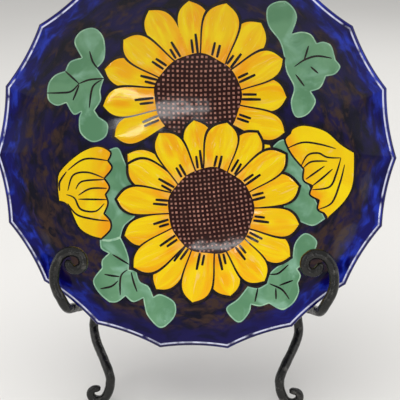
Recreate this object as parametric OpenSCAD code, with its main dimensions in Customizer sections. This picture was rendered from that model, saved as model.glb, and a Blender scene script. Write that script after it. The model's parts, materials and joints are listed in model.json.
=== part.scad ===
// Glazed dish with a scalloped rim, leaning on a folding wrought-iron easel.
// Millimetres. X is to the right, Y is to the back and Z is up; the dish faces -Y.

/* [Dish] */
// Width across the corners of the rim
plate_d = 305; // [270:1:340]
// Height from the foot ring to the lip
plate_h = 54; // [44:1:66]
// Thickness of the wall; the lip is a half round of this width
wall = 6.5; // [5:0.1:8]
// Number of corners on the rim
rim_sides = 18; // [14:2:22]
// How far each side of the rim bows in between its corners
scallop = 2.1; // [0.5:0.1:4]
// How far the flutes run in from the rim
flute_reach = 45; // [25:1:70]
// Slope of the wall at the lip, in degrees
lip_slope = 26; // [18:1:36]
// Outer diameter of the foot ring
ring_d = 140; // [124:1:160]
// Width of the foot ring
ring_w = 8; // [6:0.5:11]
// Height of the foot ring
ring_h = 6; // [4:0.5:8]

/* [Easel] */
// Diameter of the round bar
bar_d = 8; // [6:0.5:10]
// How far the dish leans back, in degrees
lean = 12; // [8:1:18]
// Distance between the two arms where the rim rests on them
arm_spacing = 190; // [176:1:204]
// Distance between the rails where the arms leave them
rail_spacing = 166; // [150:1:180]
// Height of the arm joints above the table
arm_h = 73.5; // [62:0.5:90]
// How far each arm climbs from its rail to the rim
arm_rise = 9; // [5:0.5:13]
// How far the rails run straight on below the arm joints
rail_drop = 18; // [10:1:24]
// How far the feet stand in front of the arm joints
foot_reach = 40; // [30:1:50]
// How softly the legs bend away from the rails
leg_bend = 16; // [12:1:24]
// Distance between the necks of the two front feet
foot_spacing = 138; // [120:1:155]
// Where the straight part of the rails ends, above the middle of the dish
rail_rise = 45; // [35:1:60]
// Distance between the rails at that height
rail_top = 110; // [100:1:124]
// Where the lower crossbar sits, below the middle of the dish
lower_drop = 95; // [75:1:105]

/* [Hooks and scrolls] */
// From the rim to the middle of the hook bar
hook_gap = 12.5; // [9:0.5:20]
// How far the hook steps out from its arm before the scroll begins
hook_out = 7.5; // [5:0.5:11]
// How far the hook climbs from its arm before the scroll begins
hook_up = 14; // [12:0.5:20]
// Radius of the hook's sweep up from the arm
hook_r = 27; // [22:0.5:34]
// Radius of the hook's curl at its top
hook_curl_r = 11.5; // [9.5:0.5:14]
// Radius of the scroll at the top of each rail
finial_r = 15; // [12:0.5:18]
// Diameter of the drawn-out tips
tip_d = 7.5; // [5:0.5:8]
// Radius of the foot scrolls where they touch the table
foot_r = 6.8; // [6:0.1:9]
// Flat filed on the underside of each foot
foot_flat = 0.5; // [0.3:0.1:1]

/* [Hinge and rear leg] */
// Angle between the rails and the open rear leg, in degrees
spread = 28; // [24:1:34]
// Height of the hinge above the middle of the dish
hinge_rise = 38; // [20:1:45]
// From the crossbar to the rivet
hinge_back = 18; // [16:0.5:24]
// Diameter of the rivet
rivet_d = 5; // [4:0.5:6]
// Width of the flattened end of the rear leg
tang_w = 12; // [10:0.5:14]
// Thickness of the flattened end of the rear leg
tang_t = 6; // [5:0.5:8]
// How far the flattened end runs below the rivet
tang_l = 16; // [12:0.5:24]
// Thickness of the clevis behind the crossbar
web_t = 5; // [4:0.5:6]
// Thickness of each ear of the clevis
ear_t = 3; // [2.5:0.5:5]
// Thickness of each washer
washer_t = 1; // [0.8:0.1:2]
// Radius of the curl at the rear foot
curl_r = 9; // [8:0.5:14]

/* [Hidden] */
$fn = 64;
// gap under a piece that rests on another one
seat_gap = 0.3;
// gap between fixed faces, and round a turning pin
fit_gap = 0.05;
bar_r = bar_d / 2;
tip_r = tip_d / 2;
rivet_r = rivet_d / 2;
rim_r = plate_d / 2;
ring_r = ring_d / 2;
lip_r = wall / 2;
half_side = 180 / rim_sides;
// radius of the arc on one side of the rim, and how far its centre lies from the middle of the dish
scallop_r = (pow(scallop, 2) + pow(rim_r * sin(half_side), 2)) / (2 * scallop);
scallop_l = rim_r * cos(half_side) - scallop + scallop_r;
columns = 4 * rim_sides;

function unit(v) = v / norm(v);
function lerp(a, b, t) = a + (b - a) * t;
function ease(t) = let (c = max(0, min(1, t))) c * c * (3 - 2 * c);
function bez(p, t) = pow(1 - t, 3) * p[0] + 3 * pow(1 - t, 2) * t * p[1]
    + 3 * (1 - t) * t * t * p[2] + pow(t, 3) * p[3];
function bez_dir(p, t) = unit(pow(1 - t, 2) * (p[1] - p[0]) + 2 * (1 - t) * t * (p[2] - p[1])
    + t * t * (p[3] - p[2]));
function reverse(p) = [for (i = [len(p) - 1:-1:0]) p[i]];
function last(p) = p[len(p) - 1];

// A scroll bent round arcs: spans are [turn in degrees, radius], left turns positive
function scroll(p, heading, spans, step = 16, i = 0) = i == len(spans) ? [] :
    let (turn = spans[i][0], r = spans[i][1] * sign(turn), n = ceil(abs(turn) / step),
        arc = [for (k = [1:n]) let (h = heading + turn * k / n)
            p + r * [sin(h) - sin(heading), cos(heading) - cos(h)]])
    concat(arc, scroll(last(arc), heading + turn, spans, step, i + 1));

// Dish section: [radius, height], with height 0 at the lip and the back below it
depth = plate_h - ring_h - wall;
lip_in = [rim_r - lip_r - lip_r * sin(lip_slope), lip_r * cos(lip_slope) - lip_r];
bowl = [[0, -depth], [0.69 * rim_r, -depth],
    lip_in - 0.14 * rim_r * [cos(lip_slope), sin(lip_slope)], lip_in];
function inner(t) = bez(bowl, t);
function outer(t) = let (d = bez_dir(bowl, t)) inner(t) + wall * [d[1], -d[0]];
back_table = [for (t = [0:0.02:1]) outer(t)];
function back_at(r) = lookup(r, back_table);
bowl_steps = [0.12, 0.24, 0.36, 0.47, 0.57, 0.66, 0.75, 0.83, 0.91, 1];
section = concat(
    [for (t = bowl_steps) inner(t)],
    [for (a = [90:-30:-30]) [rim_r - lip_r + lip_r * cos(a), lip_r * sin(a) - lip_r]],
    [for (t = reverse(bowl_steps)) if (outer(t)[0] > ring_r + 4) outer(t)],
    [[ring_r, back_at(ring_r)], [ring_r, -plate_h], [ring_r - ring_w, -plate_h],
        [ring_r - ring_w, back_at(ring_r - ring_w)]]);

// Radius of the rim at an angle from the bottom of the dish, corners at full radius
function side_r(a) = let (f = a - 2 * half_side * round(a / (2 * half_side)))
    scallop_l * cos(f) - sqrt(pow(scallop_r, 2) - pow(scallop_l * sin(f), 2));
function flute(r, a) = r * lerp(1, side_r(a) / rim_r, ease((r - rim_r + flute_reach) / flute_reach));
function column_a(i) = 360 * i / columns;
function rim_corner(i) = let (a = column_a(i)) side_r(a) * [sin(a), -cos(a)];
function rim_point(f) = lerp(rim_corner(floor(f)), rim_corner(floor(f) + 1), f - floor(f));

// Where an arm that passes arm_x under the middle of the lip just clears the rim from below
arm_x = arm_spacing / 2;
seat_r = bar_r + seat_gap;
arm_u = -max([for (f = [0:0.05:columns / 4]) let (p = rim_point(f), dx = arm_x - p[0])
    if (abs(dx) < seat_r) sqrt(seat_r * seat_r - dx * dx) - p[1]]);
// The rails lie just behind the foot ring
rail_w = -(plate_h + seat_gap + bar_r);
joint_x = rail_spacing / 2;
joint_u = arm_u - arm_rise;

// Middle of the rim plane, on the centred footprint
zp = arm_h - joint_u * cos(lean) - rail_w * sin(lean);
function turned(x, u, w) = [x, u * sin(lean) - w * cos(lean), u * cos(lean) + w * sin(lean)];

// Hook: out along its arm, up in front of the rim and round its scroll
function arm_at(w) = let (t = (w + lip_r) / (rail_w + lip_r))
    [lerp(arm_x, joint_x, t), lerp(arm_u, joint_u, t), w];
hook_start = [arm_x + hook_out, arm_u + hook_up];
hook_heading = 60;
hook_spans = [[90 - hook_heading, hook_r], [28, 1.15 * hook_r], [72, hook_curl_r], [85, 0.71 * hook_curl_r],
    [110, 0.52 * hook_curl_r]];
hook_bend = [arm_at(0), arm_at(0.8 * hook_gap),
    [hook_start[0] - 0.3 * hook_r * cos(hook_heading), hook_start[1] - 0.3 * hook_r * sin(hook_heading),
        hook_gap],
    [hook_start[0], hook_start[1], hook_gap]];
hook_curl = [for (p = scroll(hook_start, hook_heading, hook_spans)) [p[0], p[1], hook_gap]];
hook_local = concat([arm_at(rail_w)], [for (t = [0:0.1:1]) bez(hook_bend, t)], hook_curl);
hook_radii = [for (i = [0:len(hook_local) - 1]) lerp(tip_r, bar_r, ease((len(hook_local) - 1 - i) / 14))];

// Rear leg: hinge point, and the length that brings its curl down to the table
hinge_w = rail_w - hinge_back;
hinge_at = turned(0, hinge_rise, hinge_w) + [0, 0, zp];
leg_a = spread - lean;
leg_end_z = bar_r - foot_flat + curl_r * (1 - sin(leg_a));
leg_l = (hinge_at[2] - leg_end_z) / cos(leg_a);
curl_turn = 90 - leg_a + 130;
leg_back = max([for (a = [0:5:curl_turn])
    (curl_r - curl_r * cos(a)) * cos(leg_a) + (leg_l + curl_r * sin(a)) * sin(leg_a)])
    + hinge_at[1] + bar_r;
hook_front = min([for (p = hook_local) turned(p[0], p[1], p[2])[1]]) - bar_r;
yp = -(leg_back + hook_front) / 2;
function placed(p) = turned(p[0], p[1], p[2]) + [0, yp, zp];

// Rails: straight from the finial down past the arm joint, then a leg that sweeps forward to its foot
rail_foot = [joint_x, joint_u];
rail_head = [rail_top / 2, rail_rise];
rail_dir = unit(rail_head - rail_foot);
rail_heading = atan2(rail_dir[1], rail_dir[0]);
rail_low = rail_foot - rail_drop * rail_dir;
function rail_x(u) = lerp(rail_foot[0], rail_head[0], (u - joint_u) / (rail_rise - joint_u));
leg_top = placed([rail_low[0], rail_low[1], rail_w]);
rail_knee = rail_low - leg_bend * rail_dir;
leg_knee = placed([rail_knee[0], rail_knee[1], rail_w]);
foot_y = placed([joint_x, joint_u, rail_w])[1] - foot_reach;
foot_spans = [[30, 4.8 * foot_r], [105, foot_r], [75, 0.83 * foot_r], [50, 0.67 * foot_r]];
foot_shape = scroll([0, 0], -90, foot_spans);
foot_z = bar_r - foot_flat - min([for (p = foot_shape) p[1]]);
foot_neck = [foot_spacing / 2, foot_y, foot_z];
leg_curve = [leg_top, leg_knee, foot_neck + [0, 0, 0.8 * leg_bend], foot_neck];
foot_curl = [for (p = foot_shape) foot_neck + [p[0], 0, p[1]]];
finial_spans = [[-95, finial_r], [-90, 0.73 * finial_r], [-80, 0.53 * finial_r]];
finial = [for (p = scroll(rail_head, rail_heading, finial_spans)) placed([p[0], p[1], rail_w])];
rail_path = concat(reverse(foot_curl), [for (t = [1:-0.0625:0]) bez(leg_curve, t)],
    [placed([rail_head[0], rail_head[1], rail_w])], finial);
rail_radii = [for (i = [0:len(rail_path) - 1]) min(
    lerp(tip_r, bar_r, ease(i / 6)), lerp(tip_r, bar_r, ease((len(rail_path) - 1 - i) / 10)))];

// Clevis block: web thickness, and the square end of the tang that stops the leg on it
web_front = bar_r / 2;
web_back = web_front + web_t;
stop_gap = 0.2;
tang_top = (hinge_back - web_back - stop_gap - tang_w / 2 * cos(spread)) / sin(spread);
ear_in = tang_t / 2 + washer_t + 2 * fit_gap;
ear_out = ear_in + ear_t;
ear_r = tang_w / 2 + 0.5;
web_top = tang_top + 3;

// A tube of 12 sides through the points of a path
function along(p) = [for (i = [0:len(p) - 1]) let (a = p[max(i - 1, 0)], b = p[min(i + 1, len(p) - 1)])
    unit((i == 0 ? [0, 0, 0] : unit(p[i] - a)) + (i == len(p) - 1 ? [0, 0, 0] : unit(b - p[i])))];
function square_to(v, t) = unit(v - (v * t) * t);
function carried(t, v) = [for (i = 0, s = square_to(v, t[0]); i < len(t);
    i = i + 1, s = i < len(t) ? square_to(s, t[i]) : s) s];

module bar(path, radii, start_side) {
    n = 12;
    m = len(path);
    t = along(path);
    s = carried(t, start_side);
    points = [for (i = [0:m - 1], k = [0:n - 1])
        path[i] + radii[i] * (cos(360 * k / n) * s[i] + sin(360 * k / n) * cross(t[i], s[i]))];
    sides = [for (i = [0:m - 2], k = [0:n - 1], h = [0, 1]) let (j = (k + 1) % n)
        h == 0 ? [i * n + k, i * n + n + k, i * n + n + j] : [i * n + k, i * n + n + j, i * n + j]];
    caps = concat([for (k = [1:n - 2]) [0, k, k + 1]],
        [for (k = [1:n - 2]) (m - 1) * n * [1, 1, 1] + [0, k + 1, k]]);
    polyhedron(points = points, faces = concat(sides, caps), convexity = 8);
}

// Frame of the dish: X across, Y up its face, Z out of it
module in_dish() {
    translate([0, yp, zp]) rotate([90 - lean, 0, 0]) children();
}

// The straight stretch of one rail, for coping the bars that meet it
module rail_core(side, r) {
    in_dish() translate([side * rail_low[0], rail_low[1], rail_w])
        rotate([0, 0, side > 0 ? rail_heading : 180 - rail_heading]) rotate([0, 90, 0])
        cylinder(r = r, h = norm(rail_head - rail_low));
}

module plate() {
    n = columns;
    m = len(section);
    rows = [for (i = [0:m - 1], k = [0:n - 1]) let (a = column_a(k), r = flute(section[i][0], a))
        [r * sin(a), -r * cos(a), section[i][1]]];
    points = concat([[0, 0, -depth]], rows, [[0, 0, -depth - wall]]);
    sides = [for (i = [0:m - 2], k = [0:n - 1], h = [0, 1])
        let (j = (k + 1) % n, p = 1 + i * n, q = p + n)
        h == 0 ? [p + k, p + j, q + j] : [p + k, q + j, q + k]];
    front = [for (k = [0:n - 1]) [0, 1 + (k + 1) % n, 1 + k]];
    back = [for (k = [0:n - 1]) let (p = 1 + (m - 1) * n) [p + k, p + (k + 1) % n, 1 + m * n]];
    color("#1d2a78") in_dish() polyhedron(points = points, faces = concat(front, sides, back), convexity = 6);
}

module rail() {
    difference() {
        bar(rail_path, rail_radii, [0, 1, 0]);
        translate([0, foot_y - bar_d, -bar_d]) cube([plate_d, 2 * bar_d, bar_d]);
    }
}

module right_rail() color("#2c2c2e") rail();
module left_rail() color("#2c2c2e") mirror([1, 0, 0]) rail();

module hook() {
    difference() {
        bar([for (p = hook_local) placed(p)], hook_radii, [1, 0, 0]);
        rail_core(1, bar_r + fit_gap);
    }
}

module right_hook() color("#303033") hook();
module left_hook() color("#303033") mirror([1, 0, 0]) hook();

module crossbar(u) {
    l = rail_x(u);
    difference() {
        in_dish() translate([-l, u, rail_w]) rotate([0, 90, 0]) cylinder(r = bar_r, h = 2 * l);
        rail_core(1, bar_r + fit_gap);
        rail_core(-1, bar_r + fit_gap);
    }
}

module lower_crossbar() color("#3a3a3d") crossbar(-lower_drop);
module upper_crossbar() color("#3a3a3d") crossbar(hinge_rise);

module hinge_clevis() {
    color("#46464a") in_dish() translate([0, hinge_rise, rail_w]) difference() {
        union() {
            translate([-ear_out, -ear_r, -web_back]) cube([2 * ear_out, ear_r + web_top, web_t]);
            for (side = [-1, 1]) translate([side * (ear_in + ear_t / 2), 0, 0]) {
                translate([-ear_t / 2, -ear_r, -hinge_back]) cube([ear_t, 2 * ear_r, hinge_back - web_front]);
                translate([-ear_t / 2, 0, -hinge_back]) rotate([0, 90, 0]) cylinder(r = ear_r, h = ear_t);
            }
        }
        translate([-ear_out - 1, 0, 0]) rotate([0, 90, 0]) cylinder(r = bar_r + fit_gap, h = 2 * ear_out + 2);
        translate([-ear_out - 1, 0, -hinge_back]) rotate([0, 90, 0])
            cylinder(r = rivet_r + fit_gap, h = 2 * ear_out + 2);
    }
}

module hinge_washers() {
    color("#8a8a8e") in_dish() translate([0, hinge_rise, hinge_w]) for (side = [-1, 1])
        translate([side * (ear_in - fit_gap - washer_t / 2) - washer_t / 2, 0, 0]) rotate([0, 90, 0])
            difference() {
                cylinder(r = 2.2 * rivet_r, h = washer_t);
                translate([0, 0, -1]) cylinder(r = rivet_r + fit_gap, h = washer_t + 2);
            }
}

module hinge_rivet() {
    head_r = 1.88 * rivet_r;
    color("#9a9a9e") in_dish() translate([0, hinge_rise, hinge_w]) rotate([0, 90, 0]) {
        translate([0, 0, -ear_out - fit_gap]) cylinder(r = rivet_r, h = 2 * ear_out + 2 * fit_gap);
        for (side = [0, 1]) mirror([0, 0, side]) translate([0, 0, ear_out + fit_gap]) intersection() {
            translate([0, 0, -head_r * 0.6]) sphere(r = head_r * 1.166);
            cylinder(r = head_r, h = head_r);
        }
    }
}

module back_leg() {
    color("#343437") difference() {
        translate([0, yp + hinge_at[1], hinge_at[2]]) rotate([leg_a, 0, 0]) difference() {
            union() {
                translate([-tang_t / 2, -tang_w / 2, -tang_l]) cube([tang_t, tang_w, tang_l + tang_top]);
                translate([0, 0, -leg_l]) cylinder(r = bar_r, h = leg_l - tang_l + bar_r);
                translate([0, curl_r, -leg_l]) rotate([0, 90, 0]) rotate([0, 0, -90])
                    rotate_extrude(angle = curl_turn) translate([curl_r, 0]) circle(r = bar_r);
            }
            rotate([0, 90, 0]) translate([0, 0, -tang_t]) cylinder(r = rivet_r + fit_gap, h = 2 * tang_t);
        }
        translate([-bar_d, 0, -bar_d]) cube([2 * bar_d, plate_d, bar_d]);
    }
}

plate();
left_rail();
right_rail();
left_hook();
right_hook();
lower_crossbar();
upper_crossbar();
hinge_clevis();
hinge_washers();
hinge_rivet();
back_leg();
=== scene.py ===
"""A glazed scalloped dish on a wrought-iron easel: its looks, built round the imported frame.

Metres. X is to the right, Y to the back and Z up; the dish faces -Y and leans back on its easel.
The painting is laid out in millimetres across the dish and up its face, from the middle of the rim.
"""
import json
import math

import bpy
import numpy as np
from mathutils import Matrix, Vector
from mathutils.geometry import delaunay_2d_cdt


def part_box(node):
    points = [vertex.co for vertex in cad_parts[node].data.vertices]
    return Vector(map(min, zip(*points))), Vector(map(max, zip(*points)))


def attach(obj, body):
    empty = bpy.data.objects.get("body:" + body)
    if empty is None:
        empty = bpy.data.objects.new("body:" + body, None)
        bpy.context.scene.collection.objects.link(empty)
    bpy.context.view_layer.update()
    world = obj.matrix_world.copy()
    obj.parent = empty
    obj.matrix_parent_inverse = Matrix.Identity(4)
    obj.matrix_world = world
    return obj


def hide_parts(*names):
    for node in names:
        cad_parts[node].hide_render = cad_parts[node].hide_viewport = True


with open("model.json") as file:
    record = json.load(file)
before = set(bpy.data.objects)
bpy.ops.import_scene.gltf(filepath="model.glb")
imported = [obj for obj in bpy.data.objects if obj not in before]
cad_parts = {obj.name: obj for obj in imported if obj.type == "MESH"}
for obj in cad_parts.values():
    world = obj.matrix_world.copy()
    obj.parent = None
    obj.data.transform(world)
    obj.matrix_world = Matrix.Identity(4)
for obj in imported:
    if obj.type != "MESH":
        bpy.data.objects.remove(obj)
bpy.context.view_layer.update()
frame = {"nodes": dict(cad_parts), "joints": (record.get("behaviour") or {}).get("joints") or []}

bl_info = {
    "name": "Glazed dish on an iron easel",
    "version": (1, 0, 0),
    "blender": (4, 5, 0),
    "location": "View3D > Sidebar > Dish",
    "description": "Builds the glaze, the painting, the forged bars and the stage of a dish on its easel",
    "category": "Object",
}

MM = 0.001

# Frame of the dish: X across it, FACE_UP up its face and FACE_OUT out of it
JOINTS = {joint["name"]: joint for joint in frame["joints"]}
ACROSS = np.array((1.0, 0.0, 0.0))
FACE_UP = np.array(JOINTS["dish_lift"]["axis"], float)
FACE_OUT = np.cross(ACROSS, FACE_UP)
# Middle of the rivet that the rear leg turns on
HINGE = np.array(JOINTS["leg_fold"]["pos_m"], float)


def node_points(node):
    """The corners of a CAD node's mesh at rest, one row each."""
    return np.array([v.co for v in frame["nodes"][node].data.vertices], float)


def rim_middle():
    """The middle of the dish, in the plane of its lip."""
    points = node_points("plate")
    up = points @ FACE_UP
    return FACE_UP * (up.max() + up.min()) / 2 + FACE_OUT * (points @ FACE_OUT).max()


MIDDLE = rim_middle()
DISH_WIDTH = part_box("plate")[1].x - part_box("plate")[0].x


def from_dish(points):
    """Points across, up and out of the dish, as points of the frame."""
    points = np.asarray(points, float)
    return MIDDLE + points @ np.array((ACROSS, FACE_UP, FACE_OUT))


# Settings


def length(name, description, millimetres):
    """A length that a user may change, given in millimetres."""
    return bpy.props.FloatProperty(
        name=name, description=description, default=millimetres * MM, subtype="DISTANCE", unit="LENGTH")


def angle(name, description, degrees):
    """An angle that a user may change, given in degrees."""
    return bpy.props.FloatProperty(
        name=name, description=description, default=math.radians(degrees), subtype="ANGLE", unit="ROTATION")


def power(name, description, watts):
    """The power of a lamp that a user may change, given in watts."""
    return bpy.props.FloatProperty(name=name, description=description, default=watts, unit="POWER")


def linear(shade):
    """One channel of a colour, from 0 to 255 as a screen shows it, as light."""
    s = shade / 255
    return s / 12.92 if s <= 0.04045 else ((s + 0.055) / 1.055) ** 2.4


def colour(name, description, red, green, blue):
    """A colour that a user may change, given as a screen shows it."""
    return bpy.props.FloatVectorProperty(
        name=name, description=description, default=[linear(c) for c in (red, green, blue)],
        size=3, min=0, max=1, subtype="COLOR")


class DishSizes(bpy.types.PropertyGroup):
    """Sizes of the dish"""
    width: length("Width", "Across the corners of the rim", DISH_WIDTH / MM)
    height: length("Height", "From the foot ring to the lip", 54)
    wall: length("Wall", "Thickness of the wall, which ends in a half-round lip", 6.5)
    sides: bpy.props.IntProperty(name="Sides", description="Corners on the rim", default=18, min=6)
    scallop: length("Scallop", "How far each side of the rim bows in", 2.1)
    flute_reach: length("Flute reach", "How far the flutes run in from the rim", 45)
    lip_slope: angle("Lip slope", "Slope of the wall at the lip", 26)
    ring_width: length("Ring diameter", "Outer diameter of the foot ring", 140)
    ring_wall: length("Ring wall", "Width of the foot ring", 8)
    ring_height: length("Ring height", "Height of the foot ring", 6)
    film: length("Film", "Step in height from one coat of painted glaze to the next", 0.03)
    sink: length("Film root", "How deep a painted film is rooted in the glaze below", 0.25)


class EaselSizes(bpy.types.PropertyGroup):
    """Sizes of the easel's forged bars"""
    bar: length("Bar", "Diameter of the round bar", 8)
    tip: length("Tip", "Diameter of the drawn-out tips", 7.5)
    toe: length("Toe", "Diameter of the drawn-out tips of the front feet", 6)
    taper: length("Taper", "How far before its end a bar begins to be drawn out", 22)
    arm_spacing: length("Arm spacing", "Distance between the two arms where the rim rests on them", 190)
    rail_spacing: length("Rail spacing", "Distance between the rails where the arms leave them", 166)
    arm_height: length("Arm height", "Height of the arm joints above the table", 73.5)
    arm_rise: length("Arm rise", "How far each arm climbs from its rail to the rim", 9)
    rail_drop: length("Rail drop", "How far the rails run straight on below the arm joints", 18)
    foot_reach: length("Foot reach", "How far the feet stand in front of the arm joints", 40)
    leg_bend: length("Leg bend", "How softly the legs bend away from the rails", 16)
    foot_spacing: length("Foot spacing", "Distance between the necks of the front feet", 138)
    foot_scroll: length("Foot scroll", "Radius of the foot scrolls", 6.8)
    foot_flat: length("Foot flat", "Flat filed on the underside of each foot", 0.5)
    rail_rise: length("Rail rise", "Where the straight rails end, above the middle of the dish", 45)
    rail_top: length("Rail top", "Distance between the rails at that height", 110)
    finial: length("Finial", "Radius of the scroll at the top of each rail", 15)
    hook_gap: length("Hook gap", "From the rim to the middle of the hook bar", 12.5)
    hook_out: length("Hook step", "How far a hook steps out before its scroll", 7.5)
    hook_up: length("Hook climb", "How far a hook climbs before its scroll", 14)
    hook_sweep: length("Hook sweep", "Radius of the hook's sweep up from the arm", 27)
    hook_curl: length("Hook curl", "Radius of the hook's curl at its top", 11.5)
    leg_slant: angle("Leg slant", "How far the open rear leg slants from upright", 16)
    leg_curl: length("Leg curl", "Radius of the curl at the rear foot", 9)
    tang_width: length("Tang width", "Width of the flattened end of the rear leg", 12)
    tang_thick: length("Tang thickness", "Thickness of the flattened end of the rear leg", 6)
    tang_length: length("Tang length", "How far the flattened end runs below the rivet", 16)
    tang_taper: length("Tang taper", "How far the round bar takes to flatten", 12)
    hammer_depth: length("Hammer depth", "Depth of the hammer marks", 0.35)
    hammer_size: length("Hammer size", "Width of one hammer mark", 7)
    weld: length("Weld", "Width of the weld beads", 2.6)


class GlazeColours(bpy.types.PropertyGroup):
    """Colours of the glazes"""
    night: colour("Night", "Darkest ground round the flowers", 4, 3, 22)
    navy: colour("Navy", "Ground of the bowl", 20, 13, 64)
    # Umber also gives the bowl's brown clouds, partly a painted reflection of the room
    umber: colour("Umber", "Brown clouds in the ground", 58, 40, 34)
    cobalt: colour("Cobalt", "Band inside the rim", 11, 9, 92)
    azure: colour("Azure", "Brightest streaks of that band", 30, 50, 168)
    # Crest: glaze run thin on the lip, lightened to near white as a painted highlight
    crest: colour("Crest", "Line where the glaze runs thin on the lip", 214, 216, 240)
    clay: colour("Clay", "Bare foot ring", 190, 128, 92)
    ink: colour("Ink", "Drawn lines", 14, 12, 16)
    yellow: colour("Yellow", "Petals", 247, 215, 4)
    gold: colour("Gold", "Fuller strokes on the petals", 242, 198, 2)
    orange: colour("Orange", "Roots and edges of the petals", 244, 146, 8)
    blush: colour("Blush", "Strokes on the petals that ran thin", 246, 206, 128)
    moss: colour("Moss", "Leaves, where their glaze pooled", 90, 138, 102)
    sage: colour("Sage", "Leaves", 104, 151, 114)
    mint: colour("Mint", "Leaves, where their glaze ran thin", 132, 177, 150)
    foam: colour("Foam", "Edges of the leaves", 168, 205, 172)
    heart: colour("Heart", "Discs of the flowers", 38, 4, 1)
    seed: colour("Seed", "Seeds on the discs", 184, 128, 112)


class MetalColours(bpy.types.PropertyGroup):
    """Colours of the metals"""
    black: colour("Black", "Blacked iron", 33, 33, 32)
    worn: colour("Worn", "Iron that is rubbed on its high spots", 84, 82, 78)
    steel: colour("Steel", "Bare rivet and washers", 168, 166, 162)


class StageSettings(bpy.types.PropertyGroup):
    """Floor, light and camera"""
    floor: colour("Floor", "Plain floor", 226, 224, 220)
    sky: bpy.props.FloatProperty(name="Sky", description="Light from all round", default=0.56, min=0)
    backdrop: bpy.props.FloatProperty(
        name="Backdrop", description="How bright the backdrop shows", default=0.5, min=0)
    key: power("Key", "Lamp overhead", 22)
    fill: power("Fill", "Lamps at the two sides", 4)
    rim: power("Rim", "Lamp from behind", 6)
    gleam: power("Gleam", "Two small lamps that gleam in the glaze", 0.5)
    eye: bpy.props.FloatVectorProperty(
        name="Eye", description="Place of the camera", default=(0.02157, -0.73575, 0.42078), subtype="XYZ",
        unit="LENGTH")
    dip: angle("Dip", "How far the camera looks down", 20)
    pan: angle("Pan", "How far the camera looks to the left", 1.5)
    lens: bpy.props.FloatProperty(
        name="Lens", description="Focal length in millimetres", default=83.61, unit="CAMERA")


class DishSettings(bpy.types.PropertyGroup):
    """All settings of the dish and its easel"""
    dish: bpy.props.PointerProperty(type=DishSizes, name="Dish", description="Sizes of the dish")
    easel: bpy.props.PointerProperty(type=EaselSizes, name="Easel", description="Sizes of the easel")
    glaze: bpy.props.PointerProperty(type=GlazeColours, name="Glaze", description="Colours of the glazes")
    metal: bpy.props.PointerProperty(type=MetalColours, name="Metal", description="Colours of the metals")
    stage: bpy.props.PointerProperty(type=StageSettings, name="Stage", description="Floor, light, camera")


def settings():
    """The settings that the operators read."""
    return bpy.context.scene.easel_dish


# Curves

# Degrees from one point of a bent bar to the next
BEND_STEP = 5


def ease(t):
    """A smooth step from 0 to 1."""
    t = np.clip(t, 0, 1)
    return t * t * (3 - 2 * t)


def unit(vectors):
    """Vectors made one long."""
    return vectors / np.linalg.norm(vectors, axis=-1, keepdims=True)


def right_of(headings):
    """Directions to the right of others, in a plane."""
    return np.stack((headings[..., 1], -headings[..., 0]), -1)


def bezier(p, t):
    """Points of a cubic curve with four control points."""
    t = np.asarray(t, float)[:, None]
    p = np.asarray(p, float)
    return (1 - t) ** 3 * p[0] + 3 * (1 - t) ** 2 * t * p[1] + 3 * (1 - t) * t * t * p[2] + t ** 3 * p[3]


def bezier_heading(p, t):
    """Unit directions of that curve."""
    t = np.asarray(t, float)[:, None]
    p = np.asarray(p, float)
    d = (1 - t) ** 2 * (p[1] - p[0]) + 2 * (1 - t) * t * (p[2] - p[1]) + t * t * (p[3] - p[2])
    return unit(d)


def scroll(start, heading, spans, radius):
    """A bar bent round arcs: spans are (turn in degrees, share of the radius), left turns positive."""
    points = []
    p = np.asarray(start, float)
    for turn, share in spans:
        r = math.copysign(share * radius, turn)
        n = math.ceil(abs(turn) / BEND_STEP)
        h0 = math.radians(heading)
        h = h0 + math.radians(turn) * np.arange(1, n + 1)[:, None] / n
        arc = p + r * np.hstack((np.sin(h) - math.sin(h0), math.cos(h0) - np.cos(h)))
        points.append(arc)
        p = arc[-1]
        heading += turn
    return np.vstack(points)


def flowing(points, steps):
    """A smooth line through points, as a painter would draw it, with so many steps between two of them."""
    p = np.asarray(points, float)
    t = np.linspace(0, 1, steps, endpoint=False)[:, None]
    line = []
    for i in range(len(p) - 1):
        a, b, c, d = p[np.clip((i - 1, i, i + 1, i + 2), 0, len(p) - 1)]
        line.append(0.5 * (2 * b + (c - a) * t + (2 * a - 5 * b + 4 * c - d) * t ** 2
                           + (3 * b - a - 3 * c + d) * t ** 3))
    return np.vstack((*line, p[-1:]))


def run_of(line):
    """How far each point of a line lies along it."""
    return np.concatenate(((0,), np.cumsum(np.linalg.norm(np.diff(line, axis=0), axis=1))))


# Shape of the dish

# Curve of the bowl: how far its level floor and its sloping lip draw it out, as shares of the rim's radius
FLOOR_PULL = 0.69
LIP_PULL = 0.14
# Points on that curve from which radii and heights are read
CURVE_POINTS = 400
# Rows of the section: on the face, over the lip, down the back and round each edge of the foot ring
FACE_ROWS = 75
LIP_ROWS = 17
BACK_ROWS = 60
EDGE_ROWS = 7
# Radius of those edges, as a share of the ring's width
RING_EDGE = 0.2
# Columns of the dish on each of its sides
SIDE_COLUMNS = 20
# How far up the foot ring the clay shows, and the part of that over which the glaze sets in
CLAY_HEIGHT = 1.6 * MM
CLAY_FADE = 0.8 * MM
# A step out of the face that shows which way it looks
PROBE = 0.01


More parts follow.
